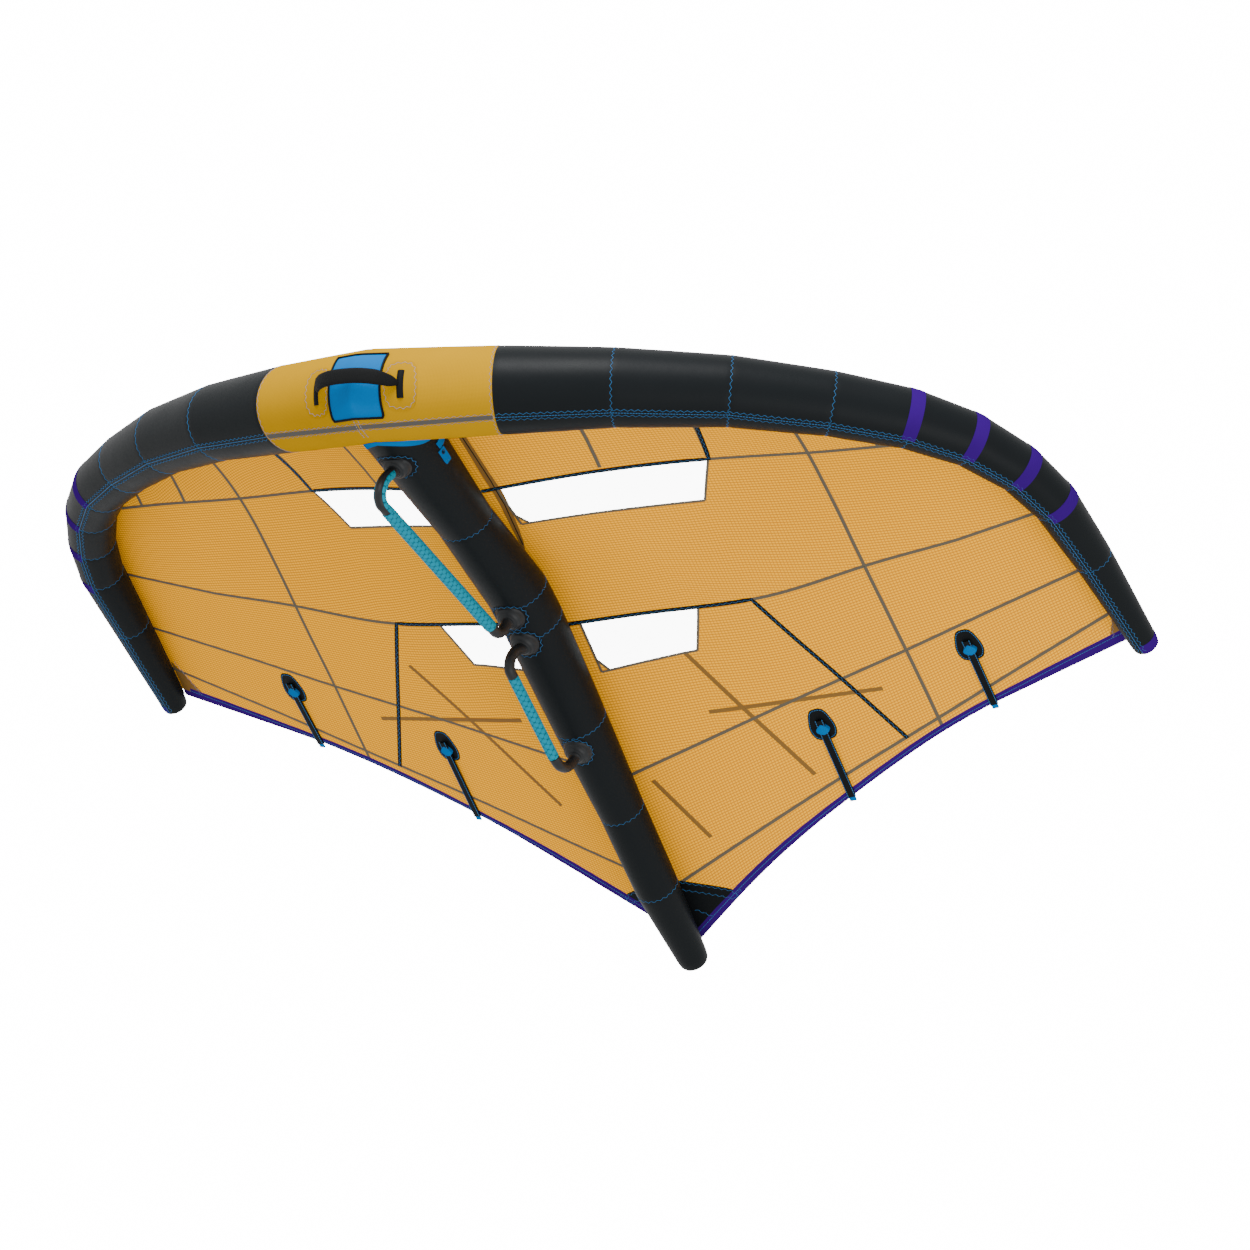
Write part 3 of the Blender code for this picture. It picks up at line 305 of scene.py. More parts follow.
def tube_surface(place, angle, lift=0.0, inflated=True):
    """Points on the leading-edge tube: place counts rings, and is negative to the left."""
    place, angle, lift = np.broadcast_arrays(
        np.asarray(place, float), np.asarray(angle, float), np.asarray(lift, float)
    )
    centres, _, rear, upward, radii, lengths = ring_frames()
    distance = np.abs(place)
    index = np.minimum(distance.astype(int), len(lengths) - 1)
    share = distance - index
    extra = lift + (panel_swell(share, lengths[index], radii[index]) if inflated else 0)

    def ring_points(ring):
        size = (radii[ring] + extra)[..., None]
        turn = np.cos(angle)[..., None] * rear[ring] + np.sin(angle)[..., None] * upward[ring]
        return centres[ring] + size * turn

    points = ring_points(index) * (1 - share)[..., None] + ring_points(index + 1) * share[..., None]
    points[..., 0] *= np.where(place < 0, -1, 1)
    return points


def strut_stations():
    places = np.array(STRUT_PLACE_SHARES) * CHORD
    heights = np.array(STRUT_HEIGHT_SHARES) * STRUT_HEIGHT
    radii = np.array(STRUT_RADIUS_SHARES) * STRUT_RADIUS
    return places, heights, radii


def strut_surface(place, angle, lift=0.0):
    """Points on the strut: place is the distance to the rear, a quarter turn is its underside."""
    place, angle, lift = np.broadcast_arrays(
        np.asarray(place, float), np.asarray(angle, float), np.asarray(lift, float)
    )
    places, heights, radii = strut_stations()
    seams = np.delete(places, 1)
    index = np.clip(np.searchsorted(seams, place) - 1, 0, len(seams) - 2)
    length = seams[index + 1] - seams[index]
    radius = np.interp(place, places, radii)
    radius = radius + lift + panel_swell((place - seams[index]) / length, length, radius)
    height = np.interp(place, places, heights)
    return np.stack([radius * np.cos(angle), place, height - radius * np.sin(angle)], axis=-1)


@lru_cache(maxsize=None)
def leading_seam_points():
    places = np.linspace(0, SEAM_END_SHARES[0], TUBE_SIDES)
    return tube_surface(places, SEAM_ANGLE, GAP + CANOPY_THICKNESS, inflated=False)


def canopy_edge(band):
    place = np.interp(band, range(BANDS + 1), SEAM_END_SHARES)
    return tube_surface(place, SEAM_ANGLE, GAP + CANOPY_THICKNESS, inflated=False)


def canopy_profile(across):
    """Places and heights of all six seams, for each distance from the mirror plane."""
    seam = leading_seam_points()
    rows = [np.stack([np.interp(across, seam[:, 0], seam[:, i]) for i in (1, 2)], axis=-1)]
    for row in range(1, BANDS + 1):
        end = canopy_edge(row)
        knots = [*np.array(SEAM_COLUMN_SHARES) * HALF_SPAN, end[0]]
        places = [*np.array(SEAM_PLACE_SHARES[row - 1]) * CHORD, end[1]]
        heights = [*np.array(SEAM_HEIGHT_SHARES[row - 1]) * TIP_RISE, end[2]]
        splines = [natural_spline(knots, values, across) for values in (places, heights)]
        rows.append(np.stack(splines, axis=-1))
    return np.stack(rows, axis=1)


def height_over_strut(place, seam):
    places, heights, radii = strut_stations()
    tops = (heights + radii)[1:] + GAP + HEM_THICKNESS / 2
    return np.interp(place, [seam[0], *places[1:]], [seam[1], *tops])


def canopy_points(across, band):
    """The canopy's middle surface: across from the mirror plane, band from 0 to 5."""
    knots = range(BANDS + 1)
    profile = canopy_profile(across)
    place = natural_spline(knots, profile[..., 0], band)
    height = natural_spline(knots, profile[..., 1], band)
    inner = canopy_profile(np.zeros(1))[0]
    inner_place = natural_spline(knots, inner[:, 0], band)
    inner_height = natural_spline(knots, inner[:, 1], band)
    blend = np.maximum(0, 1 - across / (STRUT_BLEND_SHARE * HALF_SPAN))
    height = height + blend * (height_over_strut(inner_place, inner[0]) - inner_height)
    return np.stack([across, place, height], axis=-1)


def batten_edges(index):
    middle = BATTEN_PLACE_SHARES[index] * HALF_SPAN
    return middle - POCKET_WIDTH / 2, middle + POCKET_WIDTH / 2


def column_places(band):
    """Distances from the mirror plane of the canopy's twelve inner columns, at each band value."""
    inner, outer = batten_edges(0), batten_edges(1)
    window_rear, second_rear = WINDOW_REAR_SHARES
    strip = POCKET_WIDTH / HALF_SPAN
    plain = SEAM_COLUMN_SHARES[1]
    front_start, front_end = FRONT_WINDOW_SHARES
    beside = inner[1] / HALF_SPAN
    middle = np.full_like(band, SEAM_COLUMN_SHARES[3])
    first = np.full_like(band, WINDOW_START_SHARE)
    second = np.interp(
        band, (0, 1, window_rear, 2, second_rear, 3, 5),
        (plain, plain, plain, *REAR_WINDOW_SHARES, plain, plain),
    )
    fourth = np.interp(
        band, (0, 1, window_rear, 2, 5), (front_start, front_start, front_end, beside, beside)
    )
    shares = [
        np.full_like(band, GAP / 2 / HALF_SPAN), first, (first + second) / 2, second,
        (second + fourth - strip) / 2, fourth - strip, fourth, (fourth + middle) / 2, middle,
        np.full_like(band, outer[0] / HALF_SPAN), np.full_like(band, outer[1] / HALF_SPAN),
        np.full_like(band, SEAM_COLUMN_SHARES[4]),
    ]
    return np.stack(shares, axis=-1) * HALF_SPAN


def canopy_grid(columns, bands):
    """Points of the canopy at columns counted from 0 to 13: bands has a row or a value for each."""
    columns = np.asarray(columns, float)
    bands = np.asarray(bands, float)
    if bands.ndim == 1:
        bands = np.repeat(bands[:, None], len(columns), axis=1)
    column = np.broadcast_to(columns, bands.shape).ravel()
    band = bands.ravel()
    places = column_places(band)
    last = places.shape[1] - 1
    row = np.arange(len(band))
    index = np.minimum(column.astype(int), last - 1)
    share = np.minimum(column, last) - index
    across = places[row, index] * (1 - share) + places[row, index + 1] * share
    points = canopy_points(across, band)
    outside = np.clip((column - last) / (COLUMNS - 1 - last), 0, 1)[:, None]
    points = points * (1 - outside) + canopy_edge(band) * outside
    points += front_bend(outside[:, 0]) * np.maximum(0, 1 - band)[:, None] ** 2
    return points.reshape(*bands.shape, 3)


def front_bend(share):
    """How far the tube's bend lies from a straight front edge, between the last two columns."""
    seam = leading_seam_points()
    first = SEAM_COLUMN_SHARES[-1] * HALF_SPAN
    across = first + (seam[-1, 0] - first) * share
    start = np.array([np.interp(first, seam[:, 0], seam[:, i]) for i in range(3)])
    on_tube = np.stack([np.interp(across, seam[:, 0], seam[:, i]) for i in range(3)], axis=-1)
    return on_tube - start - (seam[-1] - start) * share[:, None]


@lru_cache(maxsize=None)
def canopy_tree():
    columns = np.linspace(0, COLUMNS - 1, 131)
    bands = np.linspace(0, BANDS, 101)
    grid = canopy_grid(columns, bands)
    wide = len(columns)
    quads = [
        (i * wide + j, i * wide + j + 1, (i + 1) * wide + j + 1, (i + 1) * wide + j)
        for i in range(len(bands) - 1) for j in range(wide - 1)
    ]
    return BVHTree.FromPolygons(grid.reshape(-1, 3).tolist(), quads)


def canopy_surface(across, place, lift=0.0):
    """Points under the canopy at distances from the mirror plane and to the rear."""
    across, place, lift = np.broadcast_arrays(
        np.asarray(across, float), np.asarray(place, float), np.asarray(lift, float)
    )
    points = np.zeros((*across.shape, 3))
    for spot in np.ndindex(across.shape):
        start = Vector((abs(across[spot]), place[spot], -1))
        hit, normal, _, _ = canopy_tree().ray_cast(start, Vector(UP))
        if hit is None:
            hit, normal, _, _ = canopy_tree().find_nearest(start + Vector(UP) * (1 + TIP_RISE * 0.9))
        normal = np.array(normal) * (-1 if normal[2] > 0 else 1)
        points[spot] = np.array(hit) + lift[spot] * normal
    points[..., 0] *= np.where(across < 0, -1, 1)
    return points


def tip_distance(place):
    """A place on the tube, counted in rings, as a distance along it."""
    lengths = np.concatenate([[0], np.cumsum(ring_frames()[5])])
    return np.interp(np.abs(place), range(len(lengths)), lengths) * np.sign(place)


# Meshes


def signed_volume(points, faces):
    total = 0.0
    for face in faces:
        for i in range(1, len(face) - 1):
            a, b, c = points[face[0]], points[face[i]], points[face[i + 1]]
            total += a[0] * (b[1] * c[2] - b[2] * c[1])
            total += a[1] * (b[2] * c[0] - b[0] * c[2])
            total += a[2] * (b[0] * c[1] - b[1] * c[0])
    return total


def add_map(mesh, spots, around):
    """A UV map in metres; around is each point's full turn, so that the last side doesn't fold."""
    layer = mesh.uv_layers.new(name="UVMap")
    spots = np.asarray(spots, float).reshape(-1, 2)
    for polygon in mesh.polygons:
        corners = [mesh.loops[i].vertex_index for i in polygon.loop_indices]
        places = spots[corners].copy()
        if around is not None:
            turn = around[corners]
            wide = places[:, 0].max() - places[:, 0].min() > 0.5 * turn.max()
            if wide and turn.max() > 0:
                places[:, 0] += np.where(places[:, 0] < 0.5 * turn, turn, 0)
        for loop, spot in zip(polygon.loop_indices, places):
            layer.data[loop].uv = spot


def make_piece(name, points, faces, finish, body="wing", replaced=(), spots=None, around=None):
    """A closed piece from points in design space, turned outwards, on a body of the frame."""
    points = np.asarray(points, float).reshape(-1, 3)
    if signed_volume(points.tolist(), faces) < 0:
        faces = [tuple(reversed(face)) for face in faces]
    mesh = bpy.data.meshes.new(name)
    mesh.from_pydata((points + BASE).tolist(), [], [tuple(int(i) for i in face) for face in faces])
    mesh.materials.append(finish)
    if spots is not None:
        add_map(mesh, spots, around)
    mesh.shade_smooth()
    mesh.set_sharp_from_angle(angle=math.radians(40))
    made = bpy.data.objects.new(name, mesh)
    bpy.context.scene.collection.objects.link(made)
    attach(made, body)
    if replaced:
        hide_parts(*replaced)
    return made


def keep_node(node, finish_name):
    """Gives a CAD node that stays its finish."""
    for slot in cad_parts[node].material_slots:
        slot.material = finish(finish_name)


def ring_faces(first, second, count):
    return [(first + i, first + (i + 1) % count, second + (i + 1) % count, second + i) for i in range(count)]


def shell_faces(rows, count, inner_rows, start_closed=False, end_closed=False):
    """Faces of a wall between two sets of loops, numbered one after the other."""
    faces = []
    base = rows * count
    for i in range(rows - 1):
        faces += ring_faces(i * count, (i + 1) * count, count)
    for i in range(inner_rows - 1):
        faces += [face[::-1] for face in ring_faces(base + i * count, base + (i + 1) * count, count)]
    last, inner_last = base - count, base + (inner_rows - 1) * count
    if start_closed:
        faces += [tuple(reversed(range(count))), tuple(range(base, base + count))]
    else:
        faces += ring_faces(base, 0, count)
    if end_closed:
        faces += [tuple(range(last, last + count)), tuple(reversed(range(inner_last, inner_last + count)))]
    else:
        faces += ring_faces(last, inner_last, count)
    return faces


def solid_faces(rows, count):
    faces = []
    for i in range(rows - 1):
        faces += ring_faces(i * count, (i + 1) * count, count)
    return [*faces, tuple(reversed(range(count))), tuple(range((rows - 1) * count, rows * count))]


def slab(top, bottom):
    """Points and faces of a thin closed body between two grids of the same shape."""
    rows, wide = top.shape[:2]
    count = rows * wide
    number = np.arange(count).reshape(rows, wide)
    faces = []
    for i in range(rows - 1):
        for j in range(wide - 1):
            cell = (number[i, j], number[i, j + 1], number[i + 1, j + 1], number[i + 1, j])
            faces += [cell, tuple(reversed([n + count for n in cell]))]
    rim = [*number[0], *number[1:, -1], *number[-1, -2::-1], *number[-2:0:-1, 0]]
    for here, after in zip(rim, [*rim[1:], rim[0]]):
        faces.append((after, here, here + count, after + count))
    return np.vstack([top.reshape(-1, 3), bottom.reshape(-1, 3)]), faces


def patch(outline, surface, low, high, crown=0.0, rounds=4):
    """Points and faces of a thin patch over a closed outline of places on a surface."""
    outline = np.asarray(outline, float)
    middle = outline.mean(axis=0)
    count = len(outline)
    shares = 1 - np.arange(rounds) / rounds
    layers = []
    for lift, top in ((high, True), (low, False)):
        for share in shares:
            spots = middle + (outline - middle) * share
            raised = lift + (crown * (1 - share ** 2) if top else 0)
            layers.append(surface(spots[:, 0], spots[:, 1], raised))
        raised = lift + (crown if top else 0)
        layers.append(np.array([surface(middle[0], middle[1], raised)]))
    points = np.vstack(layers)
    half = rounds * count + 1
    faces = []
    for start, flip in ((0, 1), (half, -1)):
        for i in range(rounds - 1):
            faces += [f[::flip] for f in ring_faces(start + i * count, start + (i + 1) * count, count)]
        rim = start + (rounds - 1) * count
        faces += [(rim + i, rim + (i + 1) % count, start + half - 1)[::flip] for i in range(count)]
    faces += ring_faces(half, 0, count)
    return points, faces


def smooth_outline(corners, rounding=0.35, steps=4):
    """A closed outline with its corners cut round."""
    corners = np.asarray(corners, float)
    outline = []
    for i, corner in enumerate(corners):
        before = corner + (corners[i - 1] - corner) * rounding
        after = corner + (corners[(i + 1) % len(corners)] - corner) * rounding
        for t in np.linspace(0, 1, steps):
            outline.append((1 - t) ** 2 * before + 2 * t * (1 - t) * corner + t ** 2 * after)
    return np.array(outline)


def surface_line(surface, path, closed=False, spacing=LINE_SPACING):
    """Points and outward normals along a path of places on a surface."""
    path = np.asarray(path, float)
    if closed:
        path = np.vstack([path, path[:1]])
    corners = surface(path[:, 0], path[:, 1])
    spots = [path[:1]]
    for i in range(len(path) - 1):
        steps = max(1, math.ceil(np.linalg.norm(corners[i + 1] - corners[i]) / spacing))
        share = np.arange(1, steps + 1)[:, None] / steps
        spots.append(path[i] * (1 - share) + path[i + 1] * share)
    spots = np.vstack(spots)
    points = surface(spots[:, 0], spots[:, 1])
    return points, unit(surface(spots[:, 0], spots[:, 1], 0.001) - points)


def ribbon(points, normals, width, low, high):
    """Points and faces of a flat tape along a line on a surface."""
    along = unit(np.gradient(points, axis=0))
    side = unit(np.cross(normals, along)) * width / 2
    top = np.stack([points - side + normals * low, points - side * 0.86 + normals * high,
                    points + side * 0.86 + normals * high, points + side + normals * low], axis=1)
    flat = np.stack([points + side * share + normals * low for share in (-0.9, -0.3, 0.3, 0.9)], axis=1)
    return slab(top, flat)


def both_faces_ribbon(points, normals, width, thickness):
    """A tape through the cloth that shows on both of its faces."""
    along = unit(np.gradient(points, axis=0))
    side = unit(np.cross(normals, along)) * width / 2
    shares = (-1, -0.8, 0.8, 1)
    top = np.stack([points + side * s + normals * thickness * (0.5 if abs(s) < 1 else 0.3) for s in shares], axis=1)
    low = np.stack([points + side * s - normals * thickness * (0.5 if abs(s) < 1 else 0.3) for s in shares], axis=1)
    return slab(top, low)


def round_loop(centre, first, second, radius, sides, other=None):
    turn = np.arange(sides) * 2 * math.pi / sides
    other = radius if other is None else other
    return centre + radius * np.cos(turn)[:, None] * first + other * np.sin(turn)[:, None] * second


def rounded(points, steps):
    """A path with each stretch split by a Catmull-Rom curve."""
    path = [points[0]]
    for i in range(len(points) - 1):
        a, b, c, d = points[max(i - 1, 0)], points[i], points[i + 1], points[min(i + 2, len(points) - 1)]
        for t in np.arange(1, steps + 1) / steps:
            path.append(0.5 * (
                2 * b + (c - a) * t + (2 * a - 5 * b + 4 * c - d) * t**2 + (3 * b - a - 3 * c + d) * t**3
            ))
    return np.array(path)


def swept(path, normals, radius, sides=8):
    """Points and faces of a round cord along an open path."""
    along = unit(np.gradient(path, axis=0))
    side = unit(np.cross(normals, along))
    raised = np.cross(along, side)
    loops = [round_loop(path[i], side[i], raised[i], radius, sides) for i in range(len(path))]
    return np.vstack(loops), solid_faces(len(loops), sides)


def swept_ring(path, normals, radius, sides=8):
    """Points and faces of a round cord along a closed path, whose last point isn't repeated."""
    along = unit(np.roll(path, -1, axis=0) - np.roll(path, 1, axis=0))
    side = unit(np.cross(normals, along))
    raised = np.cross(along, side)
    loops = [round_loop(path[i], side[i], raised[i], radius, sides) for i in range(len(path))]
    faces = []
    for i in range(len(path)):
        faces += ring_faces(i * sides, (i + 1) % len(path) * sides, sides)
    return np.vstack(loops), faces


# Handles' paths, shared by several pieces


def strut_bottom(place):
    places, heights, radii = strut_stations()
    return np.interp(place, places, heights - radii)


def socket_face(index):
    place = SOCKET_PLACE_SHARES[index] * CHORD
    return np.array([0, place, strut_bottom(place) - SOCKET_HEIGHT])


def handle_points(shares, sockets, drop):
    start, end = (socket_face(index) - UP * GAP for index in sockets)
    return [start + along * (end - start) - UP * down * drop for along, down in shares]


def grip_middle():
    points = handle_points(FRONT_HANDLE_SHARES, (0, 1), FRONT_HANDLE_DROP)
    return (points[GRIP_START] + points[GRIP_START + 1]) / 2


BASE = -grip_middle()
STITCHES = {"zigzag": [], "slate_zigzag": [], "dash": [], "slate_dash": []}


def stitch(kind, points, normals, lift=0.0):
    """Keeps a line for the stitches that are made at the end."""
    STITCHES[kind].append((np.asarray(points) + BASE + np.asarray(normals) * lift, np.asarray(normals)))


# Materials


def add(tree, kind, links=None, **settings):
    """One node with its settings; links maps an input to a value or to another node's output."""
    made = tree.nodes.new(kind)
    for name, value in settings.items():
        setattr(made, name, value)
    for name, value in (links or {}).items():
        if isinstance(value, bpy.types.NodeSocket):
            tree.links.new(value, made.inputs[name])
        else:
            made.inputs[name].default_value = value
    return made


def new_finish(name, roughness, **values):
    made = bpy.data.materials.new(name)
    made.use_nodes = True
    shader = made.node_tree.nodes["Principled BSDF"]
    shader.inputs["Roughness"].default_value = roughness
    for key, value in values.items():
        shader.inputs[key.replace("_", " ")].default_value = value
    return made, made.node_tree, shader


def shade(colour, share):
    """A colour made lighter or darker."""
    return (*(min(1, part * share) for part in colour[:3]), 1.0)


def calculate(tree, operation, first, second=0.0):
    return add(tree, "ShaderNodeMath", {0: first, 1: second}, operation=operation).outputs[0]


def blended(tree, share, first, second):
    return add(tree, "ShaderNodeMix", {0: share, 6: first, 7: second}, data_type="RGBA").outputs[2]


def noise(tree, vector, scale, detail=3.0):
    return add(
        tree, "ShaderNodeTexNoise", {"Vector": vector, "Scale": scale, "Detail": detail}
    ).outputs["Fac"]


def bumped(tree, shader, height, strength, distance):
    bump = add(tree, "ShaderNodeBump", {"Strength": strength, "Distance": distance, "Height": height})
    tree.links.new(bump.outputs["Normal"], shader.inputs["Normal"])


def places_of(tree, mapped):
    """The pattern's coordinates in metres: the piece's own map, or its object coordinates."""
    if mapped:
        return add(tree, "ShaderNodeUVMap", uv_map="UVMap").outputs["UV"]
    return add(tree, "ShaderNodeTexCoord").outputs["Object"]


def woven_finish(name, colour, roughness, pitch, mapped=True, contrast=0.12, sheen=0.0, gloss=0.06):
    """Plain weave set on the bias, with slow changes of tone and small puckers."""
    made, tree, shader = new_finish(name, roughness, Sheen_Weight=sheen, Specular_IOR_Level=gloss)
    vector = places_of(tree, mapped)
    parts = add(tree, "ShaderNodeSeparateXYZ", {0: vector})
    turn = 2 * math.pi / pitch
    first = calculate(tree, "ADD", parts.outputs[0], parts.outputs[1])
    second = calculate(tree, "SUBTRACT", parts.outputs[0], parts.outputs[1])
    if not mapped:
        first = calculate(tree, "ADD", first, parts.outputs[2])
        second = calculate(tree, "SUBTRACT", second, parts.outputs[2])
    warp = calculate(tree, "SINE", calculate(tree, "MULTIPLY", first, turn))
    weft = calculate(tree, "SINE", calculate(tree, "MULTIPLY", second, turn))
    threads = calculate(tree, "MULTIPLY_ADD", calculate(tree, "MULTIPLY", warp, weft), 0.5)
    tree.nodes[-1].inputs[2].default_value = 0.5
    tone = noise(tree, vector, 7.0)
    share = calculate(tree, "MULTIPLY_ADD", threads, 0.6)
    tree.links.new(calculate(tree, "MULTIPLY", tone, 0.4), tree.nodes[-2].inputs[2])
    colour_out = blended(tree, share, shade(colour, 1 - contrast), shade(colour, 1 + contrast))
    tree.links.new(colour_out, shader.inputs["Base Color"])
    rough = add(tree, "ShaderNodeMapRange", {0: tone, 3: roughness - 0.06, 4: roughness + 0.08})
    tree.links.new(rough.outputs[0], shader.inputs["Roughness"])
    ripples = calculate(tree, "MULTIPLY", noise(tree, vector, 38.0, 2.0), 2.0)
    bumped(tree, shader, calculate(tree, "ADD", ripples, calculate(tree, "MULTIPLY", threads, 0.5)), 0.22, 0.0008)
    return made


def ripstop_finish(name, colour, thread, pitch):
    """Light sailcloth with a square grid of heavier threads, darker along the span."""
    made, tree, shader = new_finish(name, 0.6, Specular_IOR_Level=0.0)
    vector = places_of(tree, True)
    parts = add(tree, "ShaderNodeSeparateXYZ", {0: vector})
    lines = []
    for output, width in ((1, 0.27), (0, 0.24)):
        wave = calculate(tree, "PINGPONG", calculate(tree, "DIVIDE", parts.outputs[output], pitch), 0.5)
        line = add(tree, "ShaderNodeMapRange", {0: wave, 1: width, 2: 0.05, 3: 0.0, 4: 1.0})
        lines.append(line.outputs[0])
    upright = calculate(tree, "MULTIPLY", lines[1], 0.8)
    grid = calculate(tree, "MAXIMUM", lines[0], upright)
    tone = noise(tree, vector, 3.0)
    cloth = blended(tree, tone, shade(colour, 0.95), shade(colour, 1.05))
    tree.links.new(blended(tree, calculate(tree, "MULTIPLY", grid, 0.9), cloth, thread), shader.inputs["Base Color"])
    wrinkles = noise(tree, vector, 14.0, 4.0)
    bumped(tree, shader, calculate(tree, "ADD", calculate(tree, "MULTIPLY", grid, 0.4), wrinkles), 0.15, 0.0012)
    return made


def moulded_finish(name, colour, roughness, grain=260.0):
    """Moulded plastic with a fine spark grain."""
    made, tree, shader = new_finish(name, roughness, Specular_IOR_Level=0.2)
    vector = places_of(tree, False)
    tone = noise(tree, vector, 24.0)
    tree.links.new(blended(tree, tone, shade(colour, 0.85), shade(colour, 1.2)), shader.inputs["Base Color"])
    rough = add(tree, "ShaderNodeMapRange", {0: tone, 3: roughness - 0.08, 4: roughness + 0.1})
    tree.links.new(rough.outputs[0], shader.inputs["Roughness"])
    bumped(tree, shader, noise(tree, vector, grain, 2.0), 0.25, 0.0004)
    return made


def grip_finish(name, colour):
    """Closed-cell foam with rows of short curved grooves, as a mould leaves them; the grooves are painted nearly
    black as painted shade.
    """
    made, tree, shader = new_finish(name, 0.62, Specular_IOR_Level=0.05)
    vector = places_of(tree, True)
    parts = add(tree, "ShaderNodeSeparateXYZ", {0: vector})
    along = calculate(tree, "DIVIDE", parts.outputs[1], 0.0185)
    around = calculate(tree, "DIVIDE", parts.outputs[0], 0.0110)
    row = calculate(tree, "FLOOR", around)
    shifted = calculate(tree, "ADD", along, calculate(tree, "MULTIPLY", row, 0.5))
    across = calculate(tree, "SUBTRACT", calculate(tree, "FRACT", around), 0.5)
    bow = calculate(tree, "MULTIPLY", calculate(tree, "MULTIPLY", across, across), 1.6)
    reach = calculate(tree, "ABSOLUTE", calculate(tree, "SUBTRACT", calculate(tree, "FRACT", shifted), 0.35))
    reach = calculate(tree, "ABSOLUTE", calculate(tree, "SUBTRACT", reach, bow))
    groove_shade = add(tree, "ShaderNodeMapRange", {0: reach, 1: 0.10, 2: 0.045, 3: 0.0, 4: 1.0}).outputs[0]
    inside = add(tree, "ShaderNodeMapRange", {0: calculate(tree, "ABSOLUTE", across), 1: 0.44, 2: 0.36}).outputs[0]
    groove_shade = calculate(tree, "MULTIPLY", groove_shade, inside)
    tone = noise(tree, vector, 60.0)
    foam = blended(tree, tone, shade(colour, 0.88), shade(colour, 1.12))
    # The grooves are painted at 0.14 of the foam's colour: painted shade in the grooves
    tree.links.new(
        blended(tree, calculate(tree, "MULTIPLY", groove_shade, 0.75), foam, shade(colour, 0.14)), shader.inputs["Base Color"]
    )
    cells = calculate(tree, "MULTIPLY", noise(tree, vector, 900.0, 1.0), 0.15)
    bumped(tree, shader, calculate(tree, "SUBTRACT", cells, groove_shade), 0.5, 0.0009)
    return made


def webbing_finish(name, colour, rib):
    """Woven webbing: ribs across its length."""
    made, tree, shader = new_finish(name, 0.7, Specular_IOR_Level=0.1)
    vector = places_of(tree, True)
    parts = add(tree, "ShaderNodeSeparateXYZ", {0: vector})
    ribs = calculate(tree, "SINE", calculate(tree, "MULTIPLY", parts.outputs[1], 2 * math.pi / rib))
    sides = calculate(tree, "SINE", calculate(tree, "MULTIPLY", parts.outputs[0], 2 * math.pi / rib))
    height = calculate(tree, "ADD", ribs, calculate(tree, "MULTIPLY", sides, 0.5))
    tone = add(tree, "ShaderNodeMapRange", {0: height, 1: -1.5, 2: 1.5}).outputs[0]
    tree.links.new(blended(tree, tone, shade(colour, 0.7), shade(colour, 1.5)), shader.inputs["Base Color"])
    bumped(tree, shader, height, 0.4, 0.0005)
    return made


def film_finish(name, colour):
    """Clear film: mostly see-through, with a thin gloss and faint handling marks."""
    made, tree, shader = new_finish(name, 0.06, Alpha=0.22, IOR=1.45)
    vector = places_of(tree, False)
    marks = noise(tree, vector, 5.0, 5.0)
    tree.links.new(blended(tree, marks, shade(colour, 0.97), colour), shader.inputs["Base Color"])
    rough = add(tree, "ShaderNodeMapRange", {0: marks, 3: 0.04, 4: 0.14})
    tree.links.new(rough.outputs[0], shader.inputs["Roughness"])
    bumped(tree, shader, marks, 0.06, 0.002)
    return made


def thread_finish(name, colour):
    """Bonded polyester thread with a slight twist."""
    made, tree, shader = new_finish(name, 0.6, Specular_IOR_Level=0.2)
    vector = places_of(tree, False)
    twist = add(
        tree, "ShaderNodeTexWave", {"Vector": vector, "Scale": 160.0, "Distortion": 1.0}, bands_direction="DIAGONAL"
    ).outputs["Fac"]
    tree.links.new(blended(tree, twist, shade(colour, 0.7), shade(colour, 1.15)), shader.inputs["Base Color"])
    bumped(tree, shader, twist, 0.3, 0.0003)
    return made


def fibre_finish(name, colour):
    """Glass fibre rod: pale resin with long fibres in it."""
    made, tree, shader = new_finish(name, 0.32, IOR=1.52)
    vector = places_of(tree, False)
    stretched = add(tree, "ShaderNodeMapping", {0: vector, 3: (900.0, 12.0, 900.0)}).outputs[0]
    fibres = noise(tree, stretched, 1.0, 2.0)
    tree.links.new(blended(tree, fibres, shade(colour, 0.75), colour), shader.inputs["Base Color"])
    bumped(tree, shader, fibres, 0.1, 0.0002)
    return made


